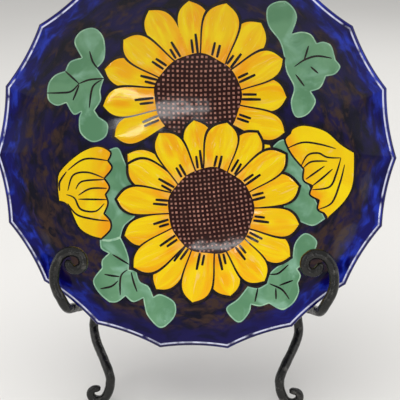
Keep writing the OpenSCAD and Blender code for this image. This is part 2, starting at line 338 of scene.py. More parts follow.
class DishForm:
    """The dish as formulas, in its own axes: across, up its face and out of it."""

    def __init__(self):
        self.sizes = sizes = settings().dish
        self.rim = sizes.width / 2
        self.lip = sizes.wall / 2
        lip, slope = self.lip, sizes.lip_slope
        floor = -(sizes.height - sizes.ring_height - sizes.wall)
        lip_in = np.array((self.rim - lip - lip * math.sin(slope), lip * math.cos(slope) - lip))
        run = LIP_PULL * self.rim * np.array((math.cos(slope), math.sin(slope)))
        self.bowl = np.array(((0, floor), (FLOOR_PULL * self.rim, floor), lip_in - run, lip_in))
        self.steps = np.linspace(0, 1, CURVE_POINTS)
        self.face = self.inner(self.steps)
        self.heading = bezier_heading(self.bowl, self.steps)

    def inner(self, t):
        """Radius and height of the face."""
        return bezier(self.bowl, t)

    def outer(self, t):
        """Radius and height of the back, one wall behind the face."""
        return self.inner(t) + self.sizes.wall * right_of(bezier_heading(self.bowl, t))

    def rim_share(self, turn):
        """Radius of the rim at an angle from the bottom, as a share of that at the corners."""
        s = self.sizes
        half = math.pi / s.sides
        f = turn - 2 * half * np.round(turn / (2 * half))
        arc = (s.scallop ** 2 + (self.rim * math.sin(half)) ** 2) / (2 * s.scallop)
        centre = self.rim * math.cos(half) - s.scallop + arc
        return (centre * np.cos(f) - np.sqrt(arc ** 2 - (centre * np.sin(f)) ** 2)) / self.rim

    def fluted(self, r, turn):
        """A radius drawn in by the flutes."""
        reach = self.sizes.flute_reach
        return r * (1 + (self.rim_share(turn) - 1) * ease((r - self.rim + reach) / reach))

    def place(self, r, turn, out):
        """Points of the frame at radii, angles from the bottom and heights."""
        r = self.fluted(r, turn)
        return from_dish(np.stack((r * np.sin(turn), -r * np.cos(turn), out), -1))

    def on_face(self, plan, lift):
        """Points of the frame over a plan of the face, lifted off it."""
        r = np.hypot(plan[:, 0], plan[:, 1])
        turn = np.arctan2(plan[:, 0], -plan[:, 1])
        heading = [np.interp(r, self.face[:, 0], self.heading[:, k]) for k in (0, 1)]
        out = np.interp(r, self.face[:, 0], self.face[:, 1])
        return self.place(r - lift * heading[1], turn, out + lift * heading[0])

    def out_of_face(self, plan):
        """Directions straight out of the face over a plan of it."""
        return (self.on_face(plan, PROBE) - self.on_face(plan, 0.0)) / PROBE

    def back_at(self, r):
        """Height of the back at a radius."""
        back = self.outer(self.steps)
        return float(np.interp(r, back[:, 0], back[:, 1]))


def arc_rows(centre, radius, start, stop, count):
    """Rows round an arc of a section, angles in degrees."""
    a = np.radians(np.linspace(start, stop, count))
    return np.stack((centre[0] + radius * np.cos(a), centre[1] + radius * np.sin(a)), 1)


def ring_section(form, back):
    """Rows down the back of the dish and round its foot ring to the middle of the well inside it."""
    s = form.sizes
    outside, inside, foot = s.ring_width / 2, s.ring_width / 2 - s.ring_wall, -s.height
    edge = RING_EDGE * s.ring_wall
    shoulder = back[back[:, 0] > outside + 1.5 * edge]
    well = back[back[:, 0] < inside - 1.5 * edge][:-1]
    high, deep = form.back_at(outside), form.back_at(inside)
    steps = np.linspace(0, 1, EDGE_ROWS)
    bend_out = (shoulder[-1], (outside + 0.5 * edge, high), (outside, high), (outside, high - edge))
    bend_in = ((inside, deep - edge), (inside, deep), (inside - 0.5 * edge, deep), well[0])
    heel = arc_rows((outside - edge, foot + edge), edge, 0, -90, EDGE_ROWS)
    toe = arc_rows((inside + edge, foot + edge), edge, -90, -180, EDGE_ROWS)
    return np.vstack((shoulder, bezier(bend_out, steps[1:]), heel, toe, bezier(bend_in, steps[:-1]), well))


def dish_section(form):
    """Rows of radius and height, and their way: 0 on the face, to 1 over the lip, to 2 down the back."""
    slope = math.degrees(form.sizes.lip_slope)
    face = form.inner(np.linspace(0, 1, FACE_ROWS + 1)[1:])
    lip_middle = (form.rim - form.lip, -form.lip)
    lip = arc_rows(lip_middle, form.lip, 90 + slope, slope - 90, LIP_ROWS + 2)[1:-1]
    behind = ring_section(form, form.outer(np.linspace(1, 0, BACK_ROWS)))
    way = np.concatenate((np.zeros(len(face)), np.linspace(0, 1, len(lip) + 2)[1:-1],
                          np.linspace(1, 2, len(behind))))
    return np.vstack((face, lip, behind)), way


# Making pieces

# Edges that turn by more than this stay sharp
SHARP = math.radians(40)
# Distance between the points inside a painted sheet, and between points that count as one, in millimetres
SHEET_STEP = 1.5
SHEET_MERGE = 1e-4


def new_mesh(name, points, edges, faces, marks):
    """A mesh whose points carry marks, each a number or a vector."""
    mesh = bpy.data.meshes.new(name)
    mesh.from_pydata(np.asarray(points).tolist(), edges, faces)
    for mark, values in marks.items():
        values = np.asarray(values, np.float32)
        kind, field = ("FLOAT_VECTOR", "vector") if values.ndim == 2 else ("FLOAT", "value")
        mesh.attributes.new(mark, kind, "POINT").data.foreach_set(field, values.ravel())
    return mesh


def glazed(name, points, faces, marks, glazes):
    """A smooth mesh in its glazes."""
    mesh = new_mesh(name, points, [], faces, marks)
    mesh.polygons.foreach_set("use_smooth", [True] * len(mesh.polygons))
    for finish in glazes:
        mesh.materials.append(finish)
    mesh.update()
    return mesh


def ride_on(mesh, body, node=None):
    """A finished mesh as a piece that rides on a body, in place of a CAD node if one is given."""
    piece = bpy.data.objects.new(mesh.name, mesh)
    bpy.context.scene.collection.objects.link(piece)
    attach(piece, body)
    if node:
        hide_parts(node)


def loop_edges(loop):
    """The edges round a loop of points."""
    return np.stack((loop, np.roll(loop, -1)), -1)


def grid_faces(rows, columns):
    """Faces of a grid, and the edges round it."""
    at = np.arange(rows * columns).reshape(rows, columns)
    quads = np.stack((at[:-1, :-1], at[:-1, 1:], at[1:, 1:], at[1:, :-1]), -1).reshape(-1, 4)
    loop = np.concatenate((at[0], at[1:, -1], at[-1, -2::-1], at[-2:0:-1, 0]))
    return quads.tolist(), loop_edges(loop)


def turned_faces(rows, columns):
    """Faces of a closed turned shape: a grid round its axis, and a fan to the point at each end."""
    at = np.arange(rows * columns).reshape(rows, columns)
    after = np.roll(at, -1, 1)
    quads = np.stack((at[:-1], at[1:], after[1:], after[:-1]), -1).reshape(-1, 4)
    front = np.stack((np.full(columns, rows * columns), at[0], after[0]), -1)
    back = np.stack((np.full(columns, rows * columns + 1), after[-1], at[-1]), -1)
    return quads.tolist() + front.tolist() + back.tolist()


def within(points, outline):
    """Which points lie within an outline."""
    a, b = outline, np.roll(outline, -1, 0)
    x, u = np.asarray(points).T[:, :, None]
    level = (a[:, 1] > u) != (b[:, 1] > u)
    share = (u - a[:, 1]) / np.where(level, b[:, 1] - a[:, 1], 1)
    return (level & (x < a[:, 0] + share * (b[:, 0] - a[:, 0]))).sum(1) % 2 == 1


def filled(outline):
    """A sheet within an outline: its points, faces and edges."""
    steps = [np.arange(low, high, SHEET_STEP) for low, high in zip(outline.min(0), outline.max(0))]
    inner = np.stack(np.meshgrid(*steps), -1).reshape(-1, 2)
    corners = [Vector(p) for p in np.vstack((outline, inner[within(inner, outline)]))]
    border = loop_edges(np.arange(len(outline))).tolist()
    points, _, faces, *_ = delaunay_2d_cdt(corners, border, [], 0, SHEET_MERGE)
    points = np.array(points)
    faces = np.array(faces)
    faces = faces[within(points[faces].mean(1), outline)]
    used, faces = np.unique(faces, return_inverse=True)
    faces = faces.reshape(-1, 3).tolist()
    ways = {(a, b) for face in faces for a, b in zip(face, face[1:] + face[:1])}
    edges = np.array([way for way in sorted(ways) if way[::-1] not in ways])
    return points[used], faces, edges


# Order of the glazes of a painted piece: its lines or edges, its colour, and a flower's heart
LINES, COLOUR, DISC = range(3)


class Film:
    """Closed films of painted glaze on the face of the dish, gathered into one piece."""

    def __init__(self):
        self.form = DishForm()
        self.points = []
        self.faces = []
        self.hues = []
        self.marks = []
        self.count = 0

    def lay(self, shape, level, hue=LINES):
        """Adds one film, a plan in millimetres, its faces, edges and marks, at its level in the painting."""
        plan, faces, edges, marks = shape
        plan = np.asarray(plan, float) * MM
        n = len(plan)
        top = self.form.on_face(plan, level * self.form.sizes.film)
        root = self.form.on_face(plan, -self.form.sizes.sink)
        upper = [[self.count + i for i in face] for face in faces]
        lower = [[i + n for i in reversed(face)] for face in upper]
        a, b = self.count + edges.T
        sides = np.stack((a, a + n, b + n, b), -1).tolist()
        self.points += [top, root]
        self.marks += [marks, marks]
        self.faces += upper + lower + sides
        self.hues += [hue] * (2 * len(upper) + len(sides))
        self.count += 2 * n

    def finish(self, name, glazes):
        """The films as one piece, with their edges kept sharp, so that each top shades as one sheet."""
        mesh = glazed(name, np.vstack(self.points), self.faces, {"brush": np.vstack(self.marks)}, glazes)
        mesh.polygons.foreach_set("material_index", self.hues)
        mesh.set_sharp_from_angle(angle=SHARP)
        ride_on(mesh, "dish")


def plain(plan, faces, edges):
    """A shape whose film has no brush marks of its own."""
    return plan, faces, edges, np.zeros((len(plan), 3))


# Layout of the painting, in millimetres and degrees
UPPER_HEART = (1, 43)
LOWER_HEART = (12, -47)
HEART_RADIUS = 34.5
# Petals: angle of the tip, angle of the root, reach from the heart, width
UPPER_PETALS = (
    (95, 93, 76, 23), (73, 68, 77, 26), (50, 46, 77, 25), (25, 24, 74, 22), (1, 2, 71, 24),
    (-21, -24, 75, 21), (-155, -153, 74, 21), (-175, -177, 76, 22), (163, 159, 77, 22), (142, 137, 74, 22),
    (119, 116, 78, 23))
LOWER_PETALS = (
    (101, 105, 75, 22), (80, 83, 73, 24), (60, 60, 74, 22), (38, 40, 76, 21), (17, 18, 74, 23),
    (-7, -9, 72, 21), (-28, -31, 73, 22), (-51, -52, 70, 22), (-76, -76, 69, 23), (-101, -101, 74, 23),
    (-125, -123, 76, 21), (-144, -142, 77, 22), (-164, -165, 73, 21), (173, 170, 77, 21), (151, 151, 77, 22),
    (124, 129, 76, 22))
BEHIND_PETALS = ((146, 141, 82, 22), (49, 48, 72, 20))
# Half of a petal's outline, from its root to its shoulder and on to its tip: share of length, share of width
PETAL_ROOT = ((0.0, 0.4), (0.25, 0.45), (0.42, 0.565), (0.62, 0.565))
PETAL_TIP = ((0.62, 0.565), (0.88, 0.565), (0.94, 0.21), (1.0, 0.0))
# Outlines are drawn in lobes, each from the notch where it begins to the notch that begins the next
LEAVES = (
    (((-88, 74), (-93, 86), (-88, 95), (-78, 97), (-71, 89), (-71, 74)), ((-77, 66),),
     ((-72, 58), (-75, 49), (-75, 41)), ((-80, 33),),
     ((-77, 28), (-70, 22), (-72, 12), (-82, 8), (-91, 15), (-92, 26)), ((-90, 32), (-96, 30)),
     ((-101, 39), (-108, 37), (-114, 42), (-114, 54), (-109, 61)), ((-101, 64), (-97, 71))),
    (((73, 93), (77, 106), (72, 114), (62, 117), (54, 112), (55, 99), (64, 87)),
     ((68, 75), (70, 64), (76, 52), (74, 40), (78, 29), (87, 31), (93, 41)), ((89, 49), (96, 52)),
     ((100, 61), (107, 63), (111, 69)), ((107, 74), (103, 83), (97, 87)), ((92, 86), (88, 93), (81, 95))),
    (((-76, -69), (-68, -70)), ((-60, -68), (-56, -76), (-53, -85)), ((-53, -93),),
     ((-47, -94), (-44, -102), (-37, -106)),
     ((-33, -114), (-27, -112), (-16, -118), (-16, -129), (-27, -136), (-37, -129), (-40, -121)),
     ((-41, -115), (-49, -118)), ((-55, -113), (-63, -117), (-75, -111), (-81, -101)),
     ((-74, -91), (-74, -85)), ((-69, -80), (-75, -76))),
    (((77, -82), (79, -70), (87, -62), (96, -68), (91, -80)), ((81, -90), (84, -95)),
     ((82, -101), (83, -108), (78, -116), (68, -120)), ((59, -117), (52, -120)),
     ((45, -119), (44, -125), (38, -132), (32, -131), (25, -122), (34, -115)), ((42, -105), (50, -106)),
     ((57, -102), (59, -95), (65, -89))),
    (((-69, 2), (-62, 3), (-57, -8), (-49, -26), (-52, -39), (-48, -50), (-57, -59)),
     ((-60, -68), (-67, -70)), ((-75, -70), (-73, -50), (-73, -21))),
    (((59, 3), (66, 10), (72, 9), (82, -7), (92, -31)), ((102, -50), (93, -56)),
     ((84, -54), (70, -43), (78, -31), (68, -19))))
# Veins drawn on the leaves
VEINS = (
    ((-72, 58), (-83, 57), (-91, 54)), ((-91, 54), (-101, 64)),
    ((-91, 54), (-97, 48), (-105, 47), (-115, 47)), ((-91, 53), (-93, 48), (-96, 41)),
    ((-74, 57), (-81, 51), (-84, 35)), ((-82, 79), (-80, 71), (-76, 65)),
    ((76, 68), (83, 73), (92, 76), (104, 75)), ((83, 73), (86, 84)), ((88, 68), (94, 63)),
    ((77, 62), (84, 53)), ((-66, -81), (-53, -89)), ((-54, -93), (-59, -98), (-59, -112)),
    ((-60, -98), (-67, -97), (-72, -96)),
    ((-61, -101), (-66, -105), (-75, -107)), ((-51, -95), (-49, -102), (-46, -110)),
    ((59, -95), (66, -94), (74, -87)), ((59, -102), (69, -106), (75, -113)), ((64, -105), (64, -113)),
    ((67, -103), (78, -99)), ((50, -106), (48, -117)))
# Buds: line of the frilled edge, as its place and its slant, the side that it faces, and the outline
LEFT_BUD = (-70, 0.0, 1, (
    ((-70, -7), (-68, 0), (-78, 5), (-92, 0), (-107, -14), (-109, -26)),
    ((-108, -38), (-101, -42), (-93, -59), (-84, -66)), ((-75, -69), (-68, -62), (-68, -55)),
    ((-73, -49), (-70, -41)), ((-72, -34), (-69, -28)), ((-73, -21), (-67, -13))))
RIGHT_BUD = (76, -0.55, -1, (
    ((123, 3), (113, 9), (101, 19), (85, 23), (76, 20)), ((74, 16), (70, 11)),
    ((73, 3), (77, -3)), ((85, -12), (85, -21)), ((92, -25), (90, -32)), ((97, -36), (96, -43)),
    ((101, -46),), ((104, -50), (119, -33), (124, -19))))
# Width of the warm frill along that line
FRILL = 15
# Folds drawn on the buds
BUD_LINES = (
    ((-70, -7), (-84, -5), (-92, -7), (-101, -14)), ((-107, -30), (-107, -23), (-102, -15)),
    ((-101, -30), (-97, -18), (-86, -16), (-73, -21)), ((-95, -29), (-90, -23), (-73, -22)),
    ((-93, -34), (-84, -29), (-71, -29)), ((-102, -33), (-96, -36), (-91, -45), (-80, -47), (-73, -41)),
    ((-93, -37), (-71, -38)), ((-101, -40), (-94, -49), (-82, -53), (-69, -55)),
    ((72, 4), (84, 9), (97, 8), (109, 5)), ((83, -10), (88, -1), (96, 1), (103, -2), (113, -2)),
    ((113, -2), (110, -14), (105, -25), (92, -28)), ((85, -11), (91, -6), (103, -5)), ((87, -20), (101, -9)),
    ((92, -25), (100, -18), (107, -11)), ((116, -7), (113, -21), (107, -37), (97, -43)))
INK_WIDTH = 1.5
VEIN_WIDTH = 1.5
# The ink round a petal or a bud lies partly outside its outline and partly over its colour
INK_OUT = 0.4 * INK_WIDTH
INK_IN = -0.6 * INK_WIDTH
# Width of the pale edge of a leaf
LEAF_EDGE = 1.0
# Dark strokes at a petal's root: share of its width aside, where they start and end, and their width
TICKS = ((-0.08, 0.8, 11.4, 2.1), (0.08, 0.2, 12.8, 2.2))
# How much their lengths differ from one to the next
TICK_SWAY = 0.2
# Width of a line and of a tick at their two ends, as a share of that in the middle, and how they swell
LINE_END = 0.3
TICK_END = 0.75
SWELL = 0.6
# Petals are fuller on one side by up to this share, which sways from one to the next
LOPSIDED = 0.12
LOPSIDED_SWAY = 2.4
# A petal's root is tucked in under the heart, and its tip grows more than its sides when it is drawn larger
ROOT_TUCK = 3
TIP_GROWTH = 1.5
TIP_HALF = 0.08
# Rows of a petal up to its shoulder and on to its tip, and columns across it
ROOT_ROWS = 10
TIP_ROWS = 11
PETAL_COLUMNS = 9
# Points round a heart, and the waves in its outline: their size, their number and where they start
HEART_POINTS = 120
HEART_WAVES = ((0.5, 5, 0), (0.4, 9, 1))
# Rows of seeds: how far apart they are, how far they are tilted in degrees, and the width of a seed
UPPER_ROWS = (3.7, 1, 1.7)
LOWER_ROWS = (3.5, 7, 1.5)
# How the rows are bent across and up, and how far a seed slips out of them, as a share of their distance
ROW_BENDS = (0.0012, 0.0016)
SEED_SLIP = 0.06
# Smallest and largest seed, as shares of their width
SEED_SIZES = (0.86, 1.12)
# Steps from one point of a painted line, or of a lobe's outline, to the next
LINE_STEPS = 8
LOBE_STEPS = 6
# Levels of the painting, from the first coat up
LEAF_LEVEL = 1
BUD_LEVEL = 5
UPPER_LEVEL = 8
LOWER_LEVEL = 16
# Levels that a leaf stands over its pale edge, lines over their colour and seeds over their heart
LEAF_LIFT = 2
LINE_LIFT = 4
SEED_LIFT = 3
# Levels from the underside of a seed to its top
SEED_DEPTH = 6


def away(heart, turn, reach):
    """A point at an angle and a distance from a flower's heart."""
    a = math.radians(turn)
    return np.array((heart[0] + reach * math.cos(a), heart[1] + reach * math.sin(a)))


def petal_warmth(across, along, lopsided):
    """How much orange lies on a petal: at its root, along its two sides and in the middle of its blade."""
    root = ease((0.46 - along) / 0.4)
    sides = ease((np.abs(across + 3 * lopsided) - 0.35) / 0.6)
    blade = ease(1 - np.abs(across) / 0.6) * ease((along - 0.4) / 0.2) * ease((0.92 - along) / 0.2)
    return np.clip(1.1 * root + 0.75 * sides + (0.4 + 4 * lopsided) * blade, 0, 1)


def petal_plan(heart, petal, grow, lopsided):
    """One petal, drawn larger by grow all round, with one side fuller than the other."""
    tip_turn, root_turn, reach, width = petal
    root = away(heart, root_turn, HEART_RADIUS - ROOT_TUCK)
    axis = away(heart, tip_turn, reach + TIP_GROWTH * grow) - root
    side = right_of(unit(axis))
    outline = np.vstack((bezier(PETAL_ROOT, np.linspace(0, 1, ROOT_ROWS)),
                         bezier(PETAL_TIP, np.linspace(0, 1, TIP_ROWS + 1)[1:])))
    across = np.linspace(-1, 1, PETAL_COLUMNS)
    half = np.maximum(outline[:, 1] * (width + 2 * grow), TIP_HALF)
    fuller = 1 + lopsided * np.sign(across)
    rows = root + outline[:, :1] * axis
    plan = rows[:, None] + (across * fuller * half[:, None])[:, :, None] * side
    along = np.repeat(outline[:, :1], len(across), 1)
    warm = petal_warmth(across, along, lopsided)
    marks = np.stack((np.broadcast_to(across, along.shape), along, warm), -1)
    return plan.reshape(-1, 2), *grid_faces(len(rows), len(across)), marks.reshape(-1, 3)


def heart_plan(heart):
    """The disc of a flower, drawn a little unevenly."""
    turn = np.linspace(0, 2 * math.pi, HEART_POINTS, endpoint=False)
    radius = np.full(HEART_POINTS, HEART_RADIUS)
    for size, waves, start in HEART_WAVES:
        radius += size * np.sin(waves * turn + start)
    return plain(*filled(heart + np.stack((np.cos(turn), np.sin(turn)), 1) * radius[:, None]))


def drawn(lobes, grow):
    """A sheet within an outline of lobes, drawn larger by grow all round: its points, faces and edges."""
    ends = [*(lobe[0] for lobe in lobes[1:]), lobes[0][0]]
    line = np.vstack([flowing((*lobe, end), LOBE_STEPS)[:-1] for lobe, end in zip(lobes, ends)])
    along = np.roll(line, -1, 0) - np.roll(line, 1, 0)
    aside = right_of(along)
    outward = np.sign(np.sum(line * aside)) / np.linalg.norm(along, axis=1)[:, None]
    return filled(line + grow * outward * aside)


def stroke_plan(points, width, end=LINE_END):
    """A brush stroke through points, swelling from its two ends."""
    line = flowing(points, LINE_STEPS)
    run = run_of(line)
    side = right_of(unit(np.gradient(line, axis=0)))
    half = width / 2 * (end + (1 - end) * np.sin(math.pi * (run / run[-1])) ** SWELL)
    plan = line[:, None] + np.array((-1, 0, 1))[:, None] * (half[:, None] * side)[:, None]
    return plain(plan.reshape(-1, 2), *grid_faces(len(line), 3))


def bud_plan(bud, grow):
    """A bud, drawn larger by grow all round, warm along its frilled edge."""
    edge, slant, side, lobes = bud
    plan, faces, edges = drawn(lobes, grow)
    inset = side * (edge + slant * plan[:, 1] - plan[:, 0])
    marks = np.stack((np.zeros(len(plan)), np.ones(len(plan)), ease(1 - inset / FRILL)), 1)
    return plan, faces, edges, marks


# Nodes


def add(tree, kind, inputs=None, **options):
    """The outputs of a new node, with its options, and its inputs set or linked by name or place."""
    node = tree.nodes.new(kind)
    for name, value in options.items():
        setattr(node, name, value)
    for key, value in (inputs or {}).items():
        if isinstance(value, bpy.types.NodeSocket):
            tree.links.new(value, node.inputs[key])
        else:
            node.inputs[key].default_value = value
    return node.outputs


def cover(shade):
    """A colour with full cover, or the socket that gives one."""
    return shade if isinstance(shade, bpy.types.NodeSocket) else (*shade, 1.0)


def mix(tree, share, first, second):
    """One colour going over into another."""
    inputs = {0: share, 6: cover(first), 7: cover(second)}
    return add(tree, "ShaderNodeMix", inputs, data_type="RGBA")[2]


def fade(tree, value, low, high):
    """A smooth step of a value between two limits."""
    limits = {"Value": value, 1: low, 2: high}
    return add(tree, "ShaderNodeMapRange", limits, interpolation_type="SMOOTHSTEP")[0]


def spread(tree, value, first, last, low=0.0, high=1.0):
    """A value between two limits, as one that runs from first to last."""
    limits = {"Value": value, 1: low, 2: high, 3: first, 4: last}
    return add(tree, "ShaderNodeMapRange", limits)[0]


def reckon(tree, operation, first, second):
    """Two values joined by an operation."""
    return add(tree, "ShaderNodeMath", {0: first, 1: second}, operation=operation)[0]


def times(tree, first, second):
    """Two values multiplied."""
    return reckon(tree, "MULTIPLY", first, second)


def plus(tree, first, second):
    """Two values added."""
    return reckon(tree, "ADD", first, second)


def most(tree, first, second):
    """The larger of two values."""
    return reckon(tree, "MAXIMUM", first, second)


def less(tree, value):
    """What is left of 1."""
    return reckon(tree, "SUBTRACT", 1.0, value)


def scaled(tree, vector, size):
    """A vector made longer or shorter."""
    return add(tree, "ShaderNodeVectorMath", {0: vector, "Scale": size}, operation="SCALE")[0]


def parts_of(tree, vector):
    """The three numbers of a vector."""
    return add(tree, "ShaderNodeSeparateXYZ", {0: vector})


def clouds(tree, where, scale, detail=4.0, swirl=0.0):
    """Soft noise."""
    inputs = {"Vector": where, "Scale": scale, "Detail": detail, "Distortion": swirl}
    return add(tree, "ShaderNodeTexNoise", inputs)["Fac"]


def stretched(tree, where, scale):
    """A pattern drawn out along its axes."""
    return add(tree, "ShaderNodeMapping", {"Vector": where, "Scale": scale})[0]


def streaks(tree, where, scale, detail, swirl):
    """Soft noise drawn out along its axes."""
    return clouds(tree, stretched(tree, where, scale), 1.0, detail, swirl)


def on_object(tree):
    """Where a point lies on its piece."""
    return add(tree, "ShaderNodeTexCoord")["Object"]


def painted(tree, mark):
    """A mark that the mesh carries."""
    return add(tree, "ShaderNodeAttribute", attribute_name=mark)


def roughen(tree, shader, height, depth, strength=1.0):
    """Relief on a surface, over any that it already has, with its depth in millimetres."""
    normal = shader.inputs["Normal"]
    inputs = {"Height": height, "Distance": depth * MM, "Strength": strength}
    if normal.is_linked:
        inputs["Normal"] = normal.links[0].from_socket
    tree.links.new(add(tree, "ShaderNodeBump", inputs)[0], normal)


def shared(store, make):
    """What is made once, under the name of the function that makes it, and then shared."""
    return store.get(make.__name__) or make()


# Materials

# What is the same all over each kind of surface
GLAZE = {"IOR": 1.5, "Specular IOR Level": 0.26}
IRON = {"Metallic": 0.45, "Specular IOR Level": 0.6}
STEEL = {"Metallic": 1.0}
PAPER = {"Roughness": 0.9, "Specular IOR Level": 0.1}
# Sheen of the glaze, of the iron and of the steel, from their smoothest to their roughest spots
GLAZE_SHEEN = (0.04, 0.11)
IRON_SHEEN = (0.14, 0.30)
STEEL_SHEEN = (0.28, 0.46)
# Streaks in the ground of the dish: how close they lie across, up and outwards, their detail and their swirl
WASH = ((5, 5, 14), 6.0, 0.6)
BROWN = ((7, 7, 22), 5.0, 0.9)
FLECKS = ((12, 12, 28), 4.0, 1.0)
BRIGHT = ((9, 9, 26), 5.0, 0.5)
DEEP = ((6, 6, 20), 4.0, 0.8)
TURNED = ((4, 4, 55), 5.0, 0.3)
BROKEN = ((16, 16, 3), 4.0, 0.0)
# Tool marks on turned steel, in the same way
TOOL_MARKS = ((2500, 300, 300), 3.0, 0.0)
# How close the brush strokes of a petal lie across and along it, and how they differ from place to place
STROKE_SCALE = (1.7, 0.7, 0)
STROKE_DRIFT = (30, 30, 30)


def blend_of(first, second, share):
    """A colour part of the way between two others."""
    return [a + (b - a) * share for a, b in zip(first, second)]


def surface(name, values):
    """A new material, its tree, its shader with what is the same all over set on it, and its coordinates."""
    material = bpy.data.materials.new(name)
    material.use_nodes = True
    tree = material.node_tree
    shader = tree.nodes["Principled BSDF"]
    for socket, value in values.items():
        shader.inputs[socket].default_value = value
    return material, tree, shader, on_object(tree)


def coat(tree, shader, shade, sheen=None):
    """Gives a surface its colour, and its sheen where that differs from place to place."""
    tree.links.new(shade, shader.inputs["Base Color"])
    if sheen:
        tree.links.new(sheen, shader.inputs["Roughness"])


def glaze(name):
    """A glossy glaze with a little unevenness, as fired by hand."""
    material, tree, shader, where = surface(name, GLAZE)
    sheen = clouds(tree, where, 55.0, 3.0)
    tree.links.new(spread(tree, sheen, *GLAZE_SHEEN), shader.inputs["Roughness"])
    roughen(tree, shader, clouds(tree, where, 42.0, 2.0), 0.5, 0.5)
    return material, tree, shader, where


def bowl_shade(tree, c, around):
    """Night-blue ground with brown clouds in a belt round the flowers, partly glaze and partly a painted
    reflection of the room, browner towards the bottom.
    """
    _, up, reach = parts_of(tree, around)
    wash = streaks(tree, around, *WASH)
    shade = mix(tree, fade(tree, wash, 0.36, 0.66), c.night, c.navy)
    brown = plus(tree, streaks(tree, around, *BROWN), times(tree, -0.05, up))
    flecks = fade(tree, streaks(tree, around, *FLECKS), 0.30, 0.58)
    # The belt where brown clouds lie: partly glaze and partly a painted reflection of the room
    belt = times(tree, fade(tree, reach, 0.58, 0.72), less(tree, fade(tree, reach, 0.86, 0.94)))
    brown_and_reflection = times(tree, times(tree, belt, flecks), fade(tree, brown, 0.42, 0.64))
    return mix(tree, brown_and_reflection, shade, c.umber)


def band_shade(tree, c, around, bright):
    """Streaked cobalt inside the rim, darker towards the bottom; its azure streaks are strongest at the two
    sides, a painted reflection of light there.
    """
    across, up, _ = parts_of(tree, around)
    # Azure streaks weighted up at the two sides: a painted reflection of light on the flared rim
    sides = plus(tree, 0.3, fade(tree, times(tree, across, across), 0.1, 0.6))
    shade = mix(tree, times(tree, sides, fade(tree, bright, 0.44, 0.72)), c.cobalt, c.azure)
    shade = mix(tree, fade(tree, up, -1.05, -0.75), c.navy, shade)
    deep = fade(tree, streaks(tree, around, *DEEP), 0.48, 0.68)
    return mix(tree, times(tree, 0.6, deep), shade, c.night)


def back_shade(tree, c, around, where):
    """Dripped navy and cobalt on the back, with rings from the wheel."""
    drip = clouds(tree, where, 30.0, 5.0)
    shade = mix(tree, fade(tree, drip, 0.4, 0.7), c.navy, c.cobalt)
    turned = fade(tree, streaks(tree, around, *TURNED), 0.46, 0.74)
    return mix(tree, times(tree, 0.5, turned), shade, c.azure)


def clay_shade(tree, c, where):
    """Gritty bare clay."""
    grit = plus(tree, clouds(tree, where, 900.0, 3.0), clouds(tree, where, 60.0, 4.0))
    return mix(tree, fade(tree, grit, 0.80, 1.20), blend_of(c.clay, c.umber, 0.5), c.clay)


def ground_glaze():
    """The glaze of the dish: its bowl, a band inside the rim, a pale crest on the lip that is thin glaze and
    a painted highlight, its back and foot.
    """
    c = settings().glaze
    material, tree, shader, where = glaze("ground_glaze")
    around = painted(tree, "around")["Vector"]
    way = painted(tree, "way")["Fac"]
    bright = streaks(tree, around, *BRIGHT)
    ragged = plus(tree, parts_of(tree, around)["Z"], times(tree, 0.10, bright))
    band = band_shade(tree, c, around, bright)
    shade = mix(tree, fade(tree, ragged, 0.935, 0.99), bowl_shade(tree, c, around), band)
    shade = mix(tree, fade(tree, way, 0.28, 0.38), shade, back_shade(tree, c, around, where))
    # A pale line on the lip, partly glaze run thin and partly a painted highlight, broken in places
    thin = times(tree, fade(tree, way, 0.04, 0.10), less(tree, fade(tree, way, 0.15, 0.23)))
    broken = fade(tree, streaks(tree, around, *BROKEN), 0.30, 0.56)
    shade = mix(tree, times(tree, thin, broken), shade, c.crest)
    shade = mix(tree, painted(tree, "bare")["Fac"], shade, clay_shade(tree, c, where))
    coat(tree, shader, shade)
    return material


def petal_glaze():
    """Sunflower yellow in long strokes, orange where it was loaded on, and a few strokes run thin."""
    c = settings().glaze
    material, tree, shader, where = glaze("petal_glaze")
    brush = painted(tree, "brush")["Vector"]
    across, along, warm = parts_of(tree, brush)
    grain = add(tree, "ShaderNodeVectorMath", {0: stretched(tree, brush, STROKE_SCALE),
                                               1: stretched(tree, where, STROKE_DRIFT)})[0]
    strokes = clouds(tree, grain, 1.0, 4.0, 0.5)
    shade = mix(tree, fade(tree, strokes, 0.40, 0.62), c.gold, c.yellow)
    load = times(tree, warm, fade(tree, clouds(tree, grain, 1.9, 3.0, 0.6), 0.30, 0.58))
    root = less(tree, fade(tree, along, 0.04, 0.30))
    load = most(tree, load, times(tree, 0.9, root))
    shade = mix(tree, times(tree, load, 0.75), shade, c.orange)
    thin = fade(tree, clouds(tree, grain, 2.6, 3.0, 0.8), 0.60, 0.76)
    root = times(tree, times(tree, 0.6, root), fade(tree, strokes, 0.44, 0.64))
    shade = mix(tree, times(tree, 0.6, most(tree, thin, root)), shade, c.blush)
    coat(tree, shader, shade)
    roughen(tree, shader, less(tree, times(tree, across, across)), 0.4)
    return material


def leaf_glaze():
    """Sage in soft strokes, deep where it pooled and pale where it ran thin."""
    c = settings().glaze
    material, tree, shader, where = glaze("leaf_glaze")
    pool = clouds(tree, where, 34.0, 3.0, 0.6)
    shade = mix(tree, fade(tree, pool, 0.38, 0.60), c.moss, c.sage)
    thin = clouds(tree, where, 46.0, 4.0, 0.8)
    coat(tree, shader, mix(tree, fade(tree, thin, 0.46, 0.74), shade, c.mint))
    return material


def washed_glaze(name, deep, thin, scale):
    """A glaze laid on in uneven strokes: deep where it pooled, paler where it ran thin."""
    material, tree, shader, where = glaze(name)
    wash = clouds(tree, where, scale, 5.0, 0.7)
    coat(tree, shader, mix(tree, fade(tree, wash, 0.4, 0.72), deep, thin))
    return material


def leaf_edge_glaze():
    """Pale edges of the leaves."""
    c = settings().glaze
    return washed_glaze("leaf_edge_glaze", c.mint, c.foam, 160.0)


